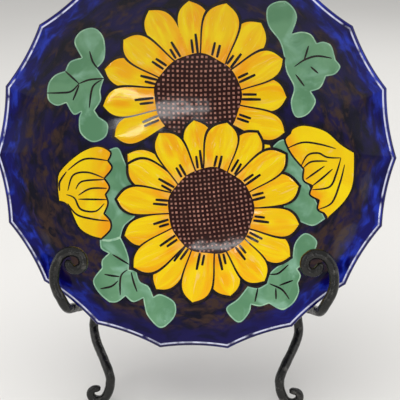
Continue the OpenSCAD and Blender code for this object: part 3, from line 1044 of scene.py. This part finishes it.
def ink_glaze():
    """Drawn lines."""
    c = settings().glaze
    return washed_glaze("ink_glaze", c.ink, blend_of(c.ink, c.umber, 0.5), 120.0)


def heart_glaze():
    """Dark discs of the flowers."""
    c = settings().glaze
    return washed_glaze("heart_glaze", c.heart, blend_of(c.heart, c.umber, 0.25), 70.0)


def seed_glaze():
    """Rosy seeds."""
    c = settings().glaze
    return washed_glaze("seed_glaze", blend_of(c.seed, c.umber, 0.45), c.seed, 90.0)


def blacked_iron():
    """Hammered iron under a thin black finish, rubbed on its high spots."""
    c = settings().metal
    material, tree, shader, where = surface("blacked_iron", IRON)
    dents = clouds(tree, where, 170.0, 3.0, 0.3)
    grain = clouds(tree, where, 900.0, 3.0)
    rubbed = fade(tree, plus(tree, dents, times(tree, 0.25, grain)), 0.66, 0.92)
    coat(tree, shader, mix(tree, rubbed, c.black, c.worn), spread(tree, grain, *IRON_SHEEN, 0.3, 0.7))
    roughen(tree, shader, plus(tree, dents, times(tree, 0.12, grain)), 0.9, 0.7)
    return material


def bare_steel():
    """Turned steel with fine rings of tool marks."""
    c = settings().metal
    material, tree, shader, where = surface("bare_steel", STEEL)
    marks = streaks(tree, where, *TOOL_MARKS)
    shade = mix(tree, fade(tree, marks, 0.3, 0.7), blend_of(c.steel, c.black, 0.35), c.steel)
    coat(tree, shader, shade, spread(tree, marks, *STEEL_SHEEN))
    roughen(tree, shader, marks, 0.1, 0.4)
    return material


def floor_paper():
    """Pale paper under the easel."""
    pale = settings().stage.floor
    material, tree, shader, where = surface("floor_paper", PAPER)
    coat(tree, shader, mix(tree, clouds(tree, where, 3.0, 2.0), pale, blend_of(pale, (1, 1, 1), 0.1)))
    return material


def glazes_of(*makers):
    """The finished glazes of a piece, in their order."""
    return [shared(bpy.data.materials, make) for make in makers]


# Geometry node trees

NUMBER = "NodeSocketFloat"
FINISH = "NodeSocketMaterial"
# Sides of a round bar, and the limits between which the hammer's noise makes a dent
BAR_SIDES = 24
DENT_LIMITS = (0.3, 0.75)
# Seeds for the sizes of the painted seeds and for how far they slip
SIZE_SEED = 4
SLIP_SEED = 9


def tree_with(name, source, result, values):
    """A new geometry tree with named inputs: the tree, its inputs and its end."""
    tree = bpy.data.node_groups.new(name, "GeometryNodeTree")
    tree.interface.new_socket(source, in_out="INPUT", socket_type="NodeSocketGeometry")
    for label, kind in values.items():
        tree.interface.new_socket(label, in_out="INPUT", socket_type=kind)
    tree.interface.new_socket(result, in_out="OUTPUT", socket_type="NodeSocketGeometry")
    return tree, tree.nodes.new("NodeGroupInput").outputs, tree.nodes.new("NodeGroupOutput")


def close_tree(tree, end, geometry, finish):
    """Ends a tree with real geometry in one finish."""
    real = add(tree, "GeometryNodeRealizeInstances", {0: geometry})[0]
    dressed = add(tree, "GeometryNodeSetMaterial", {"Geometry": real, "Material": finish})[0]
    tree.links.new(dressed, end.inputs[0])


def carried(tree, mark, kind):
    """A mark that the points of the source carry."""
    return add(tree, "GeometryNodeInputNamedAttribute", {"Name": mark}, data_type=kind)[0]


def forged_bar():
    """A round bar along a path of edges, thick as their mark says, hammered and set on the floor."""
    tree, ins, end = tree_with("forged_bar", "Path", "Bar", {
        "Spacing": NUMBER, "Hammer depth": NUMBER, "Hammer size": NUMBER, "Seed": NUMBER, "Finish": FINISH})
    path = add(tree, "GeometryNodeMeshToCurve", {0: ins["Path"]})[0]
    even = {"Curve": path, "Length": ins["Spacing"]}
    path = add(tree, "GeometryNodeResampleCurve", even, mode="LENGTH")[0]
    ring = add(tree, "GeometryNodeCurvePrimitiveCircle", {"Resolution": BAR_SIDES, "Radius": 1.0})[0]
    bar = add(tree, "GeometryNodeCurveToMesh", {
        "Curve": path, "Profile Curve": ring, "Scale": carried(tree, "thick", "FLOAT"),
        "Fill Caps": True})[0]
    spot = add(tree, "GeometryNodeInputPosition")[0]
    marks = reckon(tree, "DIVIDE", 1.0, ins["Hammer size"])
    noise = {"Vector": spot, "W": ins["Seed"], "Scale": marks, "Detail": 1.0}
    dents = add(tree, "ShaderNodeTexNoise", noise, noise_dimensions="4D")["Fac"]
    depth = times(tree, fade(tree, dents, *DENT_LIMITS), times(tree, -1.0, ins["Hammer depth"]))
    push = scaled(tree, add(tree, "GeometryNodeInputNormal")[0], depth)
    bar = add(tree, "GeometryNodeSetPosition", {"Geometry": bar, "Offset": push})[0]
    x, y, z = parts_of(tree, add(tree, "GeometryNodeInputPosition")[0])
    filed = add(tree, "ShaderNodeCombineXYZ", {0: x, 1: y, 2: most(tree, z, 0.0)})[0]
    bar = add(tree, "GeometryNodeSetPosition", {"Geometry": bar, "Position": filed})[0]
    bar = add(tree, "GeometryNodeSetShadeSmooth", {"Geometry": bar})[0]
    close_tree(tree, end, bar, ins["Finish"])
    return tree


def seed_dots():
    """A small pressed seed on every point, turned flat on the face, with a little slip."""
    tree, ins, end = tree_with("seed_dots", "Places", "Seeds", {
        "Width": NUMBER, "Height": NUMBER, "Slip": NUMBER, "Finish": FINISH})
    sides = add(tree, "ShaderNodeCombineXYZ", {0: ins["Width"], 1: ins["Width"], 2: ins["Height"]})[0]
    seed = add(tree, "GeometryNodeMeshCube", {"Size": sides})[0]
    axes = {"Primary Axis": carried(tree, "out", "FLOAT_VECTOR"), "Secondary Axis": ACROSS}
    flat = add(tree, "FunctionNodeAxesToRotation", axes, primary_axis="Z", secondary_axis="X")[0]
    sizes = {2: SEED_SIZES[0], 3: SEED_SIZES[1], "Seed": SIZE_SEED}
    size = add(tree, "FunctionNodeRandomValue", sizes, data_type="FLOAT")[1]
    limits = {0: (-1.0, 0.0, -1.0), 1: (1.0, 0.0, 1.0), "Seed": SLIP_SEED}
    slip = add(tree, "FunctionNodeRandomValue", limits, data_type="FLOAT_VECTOR")[0]
    moved = {"Geometry": ins["Places"], "Offset": scaled(tree, slip, ins["Slip"])}
    places = add(tree, "GeometryNodeSetPosition", moved)[0]
    seeds = add(tree, "GeometryNodeInstanceOnPoints", {
        "Points": places, "Instance": seed, "Rotation": flat, "Scale": size})[0]
    close_tree(tree, end, seeds, ins["Finish"])
    return tree


def grown(base, make_tree, values):
    """The plain mesh that a geometry tree makes from a base mesh, under the name of that mesh."""
    name = base.name
    tree = shared(bpy.data.node_groups, make_tree)
    maker = bpy.data.objects.new(name, base)
    bpy.context.scene.collection.objects.link(maker)
    modifier = maker.modifiers.new(tree.name, "NODES")
    modifier.node_group = tree
    for socket in tree.interface.items_tree:
        if socket.name in values:
            modifier[socket.identifier] = values[socket.name]
    evaluated = maker.evaluated_get(bpy.context.evaluated_depsgraph_get())
    mesh = bpy.data.meshes.new_from_object(evaluated)
    bpy.data.objects.remove(maker)
    bpy.data.meshes.remove(base)
    if not mesh.polygons:
        raise RuntimeError(f"{name} came out empty")
    mesh.name = name
    return mesh


# Bars of the easel

# The way a hook heads where its sweep begins, in degrees from the side
HOOK_HEADING = 60
# Scrolls: turns in degrees, each with its radius as a share of the scroll's own size
FOOT_SCROLL = ((30, 4.8), (105, 1), (75, 0.83), (110, 0.67))
FINIAL_SCROLL = ((-95, 1), (-90, 0.73), (-80, 0.53))
HOOK_SWEEP = ((90 - HOOK_HEADING, 1), (28, 1.15))
HOOK_SCROLL = ((72, 1), (85, 0.71), (110, 0.52), (110, 0.38))
# How far the foot of an upright rear leg would curl, in degrees
LEG_CURL_TURN = 220
# How softly bends begin and end: a front leg's at its neck, a hook's under the rim and before its sweep
NECK_PULL = 0.8
RIM_PULL = 0.8
SWEEP_PULL = 0.3
# Points along the bend of a front leg, the bend of a hook, the curl of the rear foot and a weld
LEG_POINTS, HOOK_POINTS, CURL_POINTS, WELD_POINTS = 40, 24, 60, 60
# Tip width of an end that stays square, and the share of its section that a rounded tip keeps at its end
SQUARE = 0
TIP_FLAT = 0.01
CROSSBARS = ("lower_crossbar", "upper_crossbar")
MIRROR = np.array((-1.0, 1.0, 1.0))


class EaselForm:
    """Paths of the easel's bars, in the frame, for the right side."""

    def __init__(self):
        self.sizes = sizes = settings().easel
        self.bar = sizes.bar / 2
        cross = node_points("lower_crossbar") - MIDDLE
        self.rail_out = float((cross @ FACE_OUT).max() + (cross @ FACE_OUT).min()) / 2
        joint_up = (sizes.arm_height - MIDDLE[2] - self.rail_out * FACE_OUT[2]) / FACE_UP[2]
        self.foot = np.array((sizes.rail_spacing / 2, joint_up))
        self.rest = np.array((sizes.arm_spacing / 2, joint_up + sizes.arm_rise))
        self.head = np.array((sizes.rail_top / 2, sizes.rail_rise))
        self.run = unit(self.head - self.foot)
        slant = sizes.leg_slant
        self.leg_down = np.array((0.0, math.sin(slant), -math.cos(slant)))
        self.leg_back = np.array((0.0, math.cos(slant), math.sin(slant)))

    def behind(self, flat):
        """Points across and up, in the plane of the rails."""
        flat = np.atleast_2d(flat)
        return from_dish(np.column_stack((flat, np.full(len(flat), self.rail_out))))

    def rail(self):
        """From the tip of the foot scroll up the leg and the rail to the tip of the finial."""
        s = self.sizes
        low = self.foot - s.rail_drop * self.run
        knee = low - s.leg_bend * self.run
        curl = scroll((0, 0), -90, FOOT_SCROLL, s.foot_scroll)
        neck_z = self.bar - s.foot_flat - curl[:, 1].min()
        neck_y = self.behind(self.foot)[0][1] - s.foot_reach
        neck = np.array((s.foot_spacing / 2, neck_y, neck_z))
        toe = neck + np.column_stack((curl[:, 0], np.zeros(len(curl)), curl[:, 1]))
        ankle = neck + (0, 0, NECK_PULL * s.leg_bend)
        leg = bezier((neck, ankle, self.behind(knee)[0], self.behind(low)[0]), np.linspace(0, 1, LEG_POINTS))
        heading = math.degrees(math.atan2(self.run[1], self.run[0]))
        top = scroll(self.head, heading, FINIAL_SCROLL, s.finial)
        return np.vstack((toe[::-1], leg, self.behind(self.head), self.behind(top)))

    def arm(self, out):
        """Where the middle of the arm is, at this distance out of the dish."""
        lip = -settings().dish.wall / 2
        share = (out - lip) / (self.rail_out - lip)
        return np.append(self.rest + share * (self.foot - self.rest), out)

    def hook(self):
        """From the rail along the arm, up in front of the rim and round the scroll."""
        s = self.sizes
        turn = math.radians(HOOK_HEADING)
        lead = SWEEP_PULL * s.hook_sweep * np.array((math.cos(turn), math.sin(turn)))
        start = self.rest + (s.hook_out, s.hook_up)
        bend = bezier((self.arm(0.0), self.arm(RIM_PULL * s.hook_gap), (*(start - lead), s.hook_gap),
                       (*start, s.hook_gap)), np.linspace(0, 1, HOOK_POINTS))
        sweep = scroll(start, HOOK_HEADING, HOOK_SWEEP, s.hook_sweep)
        heading = HOOK_HEADING + sum(span[0] for span in HOOK_SWEEP)
        curl = np.vstack((sweep, scroll(sweep[-1], heading, HOOK_SCROLL, s.hook_curl)))
        curl = np.column_stack((curl, np.full(len(curl), s.hook_gap)))
        return from_dish(np.vstack((self.arm(self.rail_out), bend, curl)))

    def crossbar(self, node):
        """From the left rail to the right one."""
        up = float((node_points(node) - MIDDLE).mean(0) @ FACE_UP)
        share = (up - self.foot[1]) / (self.head[1] - self.foot[1])
        out = self.foot[0] + share * (self.head[0] - self.foot[0])
        return self.behind(((-out, up), (out, up)))

    def leg(self):
        """From the square end over the rivet down to the table and round the curl of the foot."""
        s = self.sizes
        top = ((node_points("back_leg") - HINGE) @ -self.leg_down).max()
        level = self.bar - s.foot_flat + s.leg_curl * (1 - math.sin(s.leg_slant))
        run = (HINGE[2] - level) / math.cos(s.leg_slant)
        turn = np.linspace(0, math.radians(LEG_CURL_TURN) - s.leg_slant, CURL_POINTS)[:, None]
        curl = s.leg_curl * ((1 - np.cos(turn)) * self.leg_back + np.sin(turn) * self.leg_down)
        return HINGE + np.vstack((-top * self.leg_down, run * self.leg_down + curl))

    def joints(self):
        """Where bars are welded to the right rail: the place, and the way the bar leaves it."""
        along_arm = from_dish(self.arm(0.0)) - from_dish(self.arm(self.rail_out))
        return [(self.behind(self.foot)[0], unit(along_arm)),
                *((self.crossbar(node)[1], -ACROSS) for node in CROSSBARS)]

    def saddle(self, place, leaving):
        """The line where a bar meets the rail."""
        along = np.append(self.run, 0) @ np.array((ACROSS, FACE_UP, FACE_OUT))
        along = unit(along - leaving * (along @ leaving))
        a = np.linspace(0, 2 * math.pi, WELD_POINTS, endpoint=False)[:, None]
        ring = np.cos(a) * along + np.sin(a) * np.cross(leaving, along)
        return place + self.bar * (ring + np.abs(np.cos(a)) * leaving)

    def drawn_out(self, at, first, last):
        """Radii along a bar whose two ends are drawn out to tips this wide and rounded off."""
        radii = np.full(len(at), self.bar)
        for distance, width in ((at, first), (at[-1] - at, last)):
            if width != SQUARE:
                tip = width / 2
                radii = np.minimum(radii, tip + (self.bar - tip) * ease(distance / self.sizes.taper))
                round_off = 1 - (1 - np.clip(distance / tip, 0, 1)) ** 2
                radii = radii * np.sqrt(np.clip(round_off, TIP_FLAT, 1))
        return radii


# Pieces of the easel

# Steps of a bar's path, and of the rings of the hammered bar
PATH_STEP = 0.8 * MM
RING_STEP = 1.2 * MM
# Seeds of the hammer marks
SEEDS = {"rail": 4.34, "hook": 1.98, "lower_crossbar": 4.2429, "upper_crossbar": 9.4461, "back_leg": 7.0,
         "welds": 3.0}
# Size of the marks on the welds, as a share of the hammer's
WELD_MARKS = 0.6
# How square the flattened end of the rear leg is, from 0 for an oval
SQUARENESS = 0.65


def resampled(path, step):
    """A path with even steps, and how far each of its points lies along it."""
    run = run_of(path)
    at = np.linspace(0, run[-1], int(run[-1] / step) + 1)
    return np.column_stack([np.interp(at, run, path[:, k]) for k in range(3)]), at


def forge(name, paths, radii, seed, closed=False, marks=1.0):
    """One mesh of hammered bars along paths, with marks as a share of the hammer's size and depth."""
    s = settings().easel
    edges, first = [], 0
    for path in paths:
        n = len(path)
        edges += [(first + i, first + i + 1) for i in range(n - 1)]
        edges += [(first + n - 1, first)] if closed else []
        first += n
    base = new_mesh(name, np.vstack(paths), edges, [], {"thick": np.concatenate(radii)})
    return grown(base, forged_bar, {
        "Spacing": RING_STEP, "Hammer depth": s.hammer_depth * marks, "Hammer size": s.hammer_size * marks,
        "Seed": seed, "Finish": shared(bpy.data.materials, blacked_iron)})


def forge_bar(form, name, path, tips, seed):
    """The mesh of one bar, with its two ends drawn out to tips this wide."""
    path, at = resampled(path, PATH_STEP)
    return forge(name, [path], [form.drawn_out(at, *tips)], seed)


def forge_side(side, mirror):
    """The rail and the hook of one side."""
    form = EaselForm()
    s = form.sizes
    for kind, path, tips in (("rail", form.rail(), (s.toe, s.tip)), ("hook", form.hook(), (SQUARE, s.tip))):
        node = f"{side}_{kind}"
        mesh = forge_bar(form, f"forged_{node}", path * mirror, tips, SEEDS[kind])
        ride_on(mesh, "easel", node)


def forge_crossbars():
    """The two bars between the rails."""
    form = EaselForm()
    for node in CROSSBARS:
        mesh = forge_bar(form, f"forged_{node}", form.crossbar(node), (SQUARE, SQUARE), SEEDS[node])
        ride_on(mesh, "easel", node)


def forge_leg():
    """The rear leg, a round bar that is hammered flat where the rivet goes through it."""
    form = EaselForm()
    s = form.sizes
    mesh = forge_bar(form, "forged_leg", form.leg(), (SQUARE, s.tip), SEEDS["back_leg"])
    points = np.array([v.co for v in mesh.vertices], float)
    below = (points - HINGE) @ form.leg_down
    flat = ease((s.tang_length + s.tang_taper - below) / s.tang_taper)
    for axis, size in ((ACROSS, s.tang_thick), (form.leg_back, s.tang_width)):
        off = (points - HINGE) @ axis
        half = form.bar + flat * (size / 2 - form.bar)
        squared = np.sign(off) * half * (np.abs(off) / form.bar) ** (1 - SQUARENESS * flat)
        points += np.where(flat > 0, squared - off, 0)[:, None] * axis
    mesh.vertices.foreach_set("co", points.ravel())
    mesh.set_sharp_from_angle(angle=SHARP)
    ride_on(mesh, "rear_leg", "back_leg")


def weld_joints():
    """Beads of weld where the bars meet the rails."""
    form = EaselForm()
    beads = [form.saddle(*joint) * mirror for joint in form.joints() for mirror in (1, MIRROR)]
    radii = [np.full(len(bead), form.sizes.weld / 2) for bead in beads]
    mesh = forge("weld_beads", beads, radii, SEEDS["welds"], closed=True, marks=WELD_MARKS)
    ride_on(mesh, "easel")


def dress_fittings():
    """Finishes on the hinge parts whose CAD shape is shown as it is."""
    finishes = {"hinge_clevis": blacked_iron, "hinge_washers": bare_steel, "hinge_rivet": bare_steel}
    for node, make in finishes.items():
        slots = frame["nodes"][node].data.materials
        slots.clear()
        slots.append(shared(bpy.data.materials, make))


# Pieces of the dish


def build_dish():
    """The glazed dish itself, lip and foot ring."""
    form = DishForm()
    s = form.sizes
    section, way = dish_section(form)
    columns = SIDE_COLUMNS * s.sides
    r, out = [np.repeat(column[:, None], columns, 1) for column in section.T]
    turn = np.broadcast_to(np.linspace(0, 2 * math.pi, columns, endpoint=False), r.shape)
    points = form.place(r, turn, out).reshape(-1, 3)
    poles = from_dish(((0, 0, form.face[0, 1]), (0, 0, s.ring_height - s.height)))
    around = np.stack((np.sin(turn), -np.cos(turn), r / form.rim), -1).reshape(-1, 3)
    bare = ease((CLAY_HEIGHT - s.height - section[:, 1]) / CLAY_FADE)
    marks = {"around": np.vstack((around, np.zeros((2, 3)))),
             "way": np.append(np.repeat(way, columns), (0, 2)),
             "bare": np.append(np.repeat(bare, columns), (0, 0))}
    faces = turned_faces(len(section), columns)
    mesh = glazed("glazed_dish", np.vstack((points, poles)), faces, marks, glazes_of(ground_glaze))
    ride_on(mesh, "dish", "plate")


def paint_leaves():
    """Leaves with pale edges, and the green behind the buds."""
    film = Film()
    for lobes in LEAVES:
        film.lay(plain(*drawn(lobes, 0.0)), LEAF_LEVEL, LINES)
        film.lay(plain(*drawn(lobes, -LEAF_EDGE)), LEAF_LEVEL + LEAF_LIFT, COLOUR)
    film.finish("painted_leaves", glazes_of(leaf_edge_glaze, leaf_glaze))


def paint_buds():
    """Two half-open buds with their drawn folds, and the veins of the leaves."""
    film = Film()
    for bud in (LEFT_BUD, RIGHT_BUD):
        film.lay(bud_plan(bud, INK_OUT), BUD_LEVEL, LINES)
        film.lay(bud_plan(bud, INK_IN), BUD_LEVEL + 1, COLOUR)
    for lines, level, width in ((BUD_LINES, BUD_LEVEL, INK_WIDTH), (VEINS, LEAF_LEVEL, VEIN_WIDTH)):
        for line in lines:
            film.lay(stroke_plan(line, width), level + LINE_LIFT)
    film.finish("painted_buds", glazes_of(ink_glaze, petal_glaze))


def lay_ticks(film, heart, petal, level):
    """The short dark strokes at the root of a petal."""
    tip_turn, root_turn, reach, width = petal
    root = away(heart, root_turn, HEART_RADIUS)
    axis = unit(away(heart, tip_turn, reach) - root)
    side = right_of(axis) * width
    for shift, start, end, thick in TICKS:
        a = root + axis * start + side * shift
        b = root + axis * end * (1 + TICK_SWAY * math.sin(tip_turn + 9 * shift)) + side * shift
        film.lay(stroke_plan((a, (a + b) / 2, b), thick, TICK_END), level)


def paint_flower(name, heart, rounds, level):
    """A sunflower: petals lapped over each other in rounds, their ticks, and its heart."""
    film = Film()
    for petals in rounds:
        for first in (0, 1):
            for number in range(first, len(petals), 2):
                lopsided = LOPSIDED * math.sin(LOPSIDED_SWAY * number + level)
                film.lay(petal_plan(heart, petals[number], INK_OUT, lopsided), level, LINES)
                film.lay(petal_plan(heart, petals[number], INK_IN, lopsided), level + 1, COLOUR)
            level += 2
        for petal in petals:
            lay_ticks(film, heart, petal, level)
    film.lay(heart_plan(heart), level + 1, DISC)
    film.finish(name, glazes_of(ink_glaze, petal_glaze, heart_glaze))
    return level + 1


def sow_seeds(name, heart, level, rows):
    """Rows of seeds on the heart of a flower."""
    form = DishForm()
    spacing, tilt, width = rows
    steps = np.arange(-HEART_RADIUS, HEART_RADIUS, spacing)
    x, u = [axis.ravel() for axis in np.meshgrid(steps, steps)]
    rise = math.tan(math.radians(tilt))
    bent = np.column_stack((x - rise * u + ROW_BENDS[0] * u * u, u + rise * x + ROW_BENDS[1] * x * x))
    keep = np.hypot(bent[:, 0], bent[:, 1]) < HEART_RADIUS - 0.5 * width
    plan = (bent[keep] + heart) * MM
    out = form.out_of_face(plan)
    height = SEED_DEPTH * form.sizes.film
    middles = form.on_face(plan, (level + SEED_LIFT) * form.sizes.film) - out * height / 2
    mesh = grown(new_mesh(name, middles, [], [], {"out": out}), seed_dots, {
        "Width": width * MM, "Height": height, "Slip": SEED_SLIP * spacing * MM,
        "Finish": shared(bpy.data.materials, seed_glaze)})
    ride_on(mesh, "dish")


def paint_flowers():
    """The upper sunflower and the lower one, which laps over it, with their seeds."""
    for name, heart, rounds, level, rows in (
            ("upper", UPPER_HEART, [UPPER_PETALS], UPPER_LEVEL, UPPER_ROWS),
            ("lower", LOWER_HEART, [BEHIND_PETALS, LOWER_PETALS], LOWER_LEVEL, LOWER_ROWS)):
        top = paint_flower(f"{name}_flower", heart, rounds, level)
        sow_seeds(f"{name}_seeds", heart, top, rows)


# Stage

# Half the width of the floor, and the width of the camera's sensor in millimetres
FLOOR_REACH = 8.0
SENSOR_WIDTH = 36
# Lamps: name, the setting for its power, width and height, place, and whether it shows in the glaze
LAMPS = (
    ("key", "key", (1.8, 1.8), (-0.30, -0.55, 1.90), False),
    ("left_fill", "fill", (1.2, 1.2), (-1.50, -0.20, 0.80), True),
    ("right_fill", "fill", (1.2, 1.2), (1.50, -0.20, 0.80), True),
    ("rim", "rim", (1.2, 1.2), (0.5, 1.3, 1.3), True),
    ("high_gleam", "gleam", (0.30, 0.04), (-0.16, -1.23, 0.74), True),
    ("low_gleam", "gleam", (0.30, 0.04), (0.10, -1.26, 0.25), True))


def lay_floor():
    """A pale floor."""
    corners = [(x * FLOOR_REACH, y * FLOOR_REACH, 0) for x, y in ((-1, -1), (1, -1), (1, 1), (-1, 1))]
    mesh = new_mesh("floor", corners, [], [(0, 1, 2, 3)], {})
    mesh.materials.append(floor_paper())
    floor = bpy.data.objects.new("floor", mesh)
    bpy.context.scene.collection.objects.link(floor)


def light_world(s):
    """Even light from all round, with a pale backdrop where the camera and reflections see it."""
    world = bpy.data.worlds.new("studio")
    bpy.context.scene.world = world
    world.use_nodes = True
    tree = world.node_tree
    ray = add(tree, "ShaderNodeLightPath")
    seen = most(tree, ray["Is Camera Ray"], ray["Is Glossy Ray"])
    seen = most(tree, seen, ray["Is Transmission Ray"])
    backdrop = tree.nodes["Background"]
    backdrop.inputs["Color"].default_value = (1, 1, 1, 1)
    tree.links.new(spread(tree, seen, s.sky, s.backdrop), backdrop.inputs["Strength"])


def hang_lamp(name, watts, size, place, gleams):
    """A soft lamp that faces the dish, and shows in the glaze only if it gleams."""
    lamp = bpy.data.lights.new(name, "AREA")
    lamp.shape = "RECTANGLE"
    lamp.energy = watts
    lamp.size, lamp.size_y = size
    hung = bpy.data.objects.new(name, lamp)
    hung.location = place
    hung.rotation_euler = (Vector(MIDDLE) - Vector(place)).to_track_quat("-Z", "Y").to_euler()
    hung.visible_camera = False
    hung.visible_glossy = gleams
    bpy.context.scene.collection.objects.link(hung)


def set_camera(s):
    """The camera at the place and the angle that the settings give."""
    camera = bpy.data.cameras.new("camera")
    camera.lens = s.lens
    camera.sensor_width = SENSOR_WIDTH
    eye = bpy.data.objects.new("camera", camera)
    eye.location = s.eye
    eye.rotation_euler = (math.pi / 2 - s.dip, 0, s.pan)
    bpy.context.scene.collection.objects.link(eye)
    bpy.context.scene.camera = eye


def build_stage():
    """Pale floor, soft lamps and the camera."""
    s = settings().stage
    bpy.context.scene.view_settings.view_transform = "Standard"
    lay_floor()
    light_world(s)
    for name, setting, size, place, gleams in LAMPS:
        hang_lamp(name, getattr(s, setting), size, place, gleams)
    set_camera(s)


# Operators


class EASEL_DISH_OT_stage(bpy.types.Operator):
    """Lay the floor, hang the lamps and set up the camera"""
    bl_idname = "easel_dish.stage"
    bl_label = "Stage"
    bl_options = {"REGISTER", "UNDO"}

    def execute(self, context):
        build_stage()
        return {"FINISHED"}


class EASEL_DISH_OT_dish(bpy.types.Operator):
    """Throw and glaze the scalloped dish"""
    bl_idname = "easel_dish.dish"
    bl_label = "Dish"
    bl_options = {"REGISTER", "UNDO"}

    def execute(self, context):
        build_dish()
        return {"FINISHED"}


class EASEL_DISH_OT_leaves(bpy.types.Operator):
    """Paint the leaves"""
    bl_idname = "easel_dish.leaves"
    bl_label = "Leaves"
    bl_options = {"REGISTER", "UNDO"}

    def execute(self, context):
        paint_leaves()
        return {"FINISHED"}


class EASEL_DISH_OT_buds(bpy.types.Operator):
    """Paint the buds and the veins"""
    bl_idname = "easel_dish.buds"
    bl_label = "Buds"
    bl_options = {"REGISTER", "UNDO"}

    def execute(self, context):
        paint_buds()
        return {"FINISHED"}


class EASEL_DISH_OT_flowers(bpy.types.Operator):
    """Paint the two sunflowers and their seeds"""
    bl_idname = "easel_dish.flowers"
    bl_label = "Flowers"
    bl_options = {"REGISTER", "UNDO"}

    def execute(self, context):
        paint_flowers()
        return {"FINISHED"}


class EASEL_DISH_OT_bars(bpy.types.Operator):
    """Forge the rails and the hooks of both sides, the crossbars and the rear leg"""
    bl_idname = "easel_dish.bars"
    bl_label = "Forged bars"
    bl_options = {"REGISTER", "UNDO"}

    def execute(self, context):
        forge_side("right", np.ones(3))
        forge_side("left", MIRROR)
        forge_crossbars()
        forge_leg()
        return {"FINISHED"}


class EASEL_DISH_OT_welds(bpy.types.Operator):
    """Weld the bars together"""
    bl_idname = "easel_dish.welds"
    bl_label = "Welds"
    bl_options = {"REGISTER", "UNDO"}

    def execute(self, context):
        weld_joints()
        return {"FINISHED"}


class EASEL_DISH_OT_fittings(bpy.types.Operator):
    """Finish the parts of the hinge"""
    bl_idname = "easel_dish.fittings"
    bl_label = "Fittings"
    bl_options = {"REGISTER", "UNDO"}

    def execute(self, context):
        dress_fittings()
        return {"FINISHED"}


OPERATORS = (EASEL_DISH_OT_stage, EASEL_DISH_OT_dish, EASEL_DISH_OT_leaves, EASEL_DISH_OT_buds,
             EASEL_DISH_OT_flowers, EASEL_DISH_OT_bars, EASEL_DISH_OT_welds, EASEL_DISH_OT_fittings)


class EASEL_DISH_PT_panel(bpy.types.Panel):
    """Settings and steps of the dish and its easel"""
    bl_idname = "EASEL_DISH_PT_panel"
    bl_label = "Dish on an easel"
    bl_space_type = "VIEW_3D"
    bl_region_type = "UI"
    bl_category = "Dish"

    def draw(self, context):
        for operator in OPERATORS:
            self.layout.operator(operator.bl_idname)
        everything = context.scene.easel_dish
        for group in ("dish", "easel", "glaze", "metal", "stage"):
            box = self.layout.box()
            for name in getattr(everything, group).__annotations__:
                box.prop(getattr(everything, group), name)


CLASSES = (DishSizes, EaselSizes, GlazeColours, MetalColours, StageSettings, DishSettings, *OPERATORS,
           EASEL_DISH_PT_panel)


def register():
    """Adds the settings, the operators and the panel."""
    for item in CLASSES:
        bpy.utils.register_class(item)
    bpy.types.Scene.easel_dish = bpy.props.PointerProperty(type=DishSettings)


def unregister():
    """Takes them away again."""
    del bpy.types.Scene.easel_dish
    for item in reversed(CLASSES):
        bpy.utils.unregister_class(item)


def main():
    """Builds the whole part."""
    register()
    for operator in OPERATORS:
        group, step = operator.bl_idname.split(".")
        getattr(getattr(bpy.ops, group), step)()


if __name__ == "__main__":
    main()
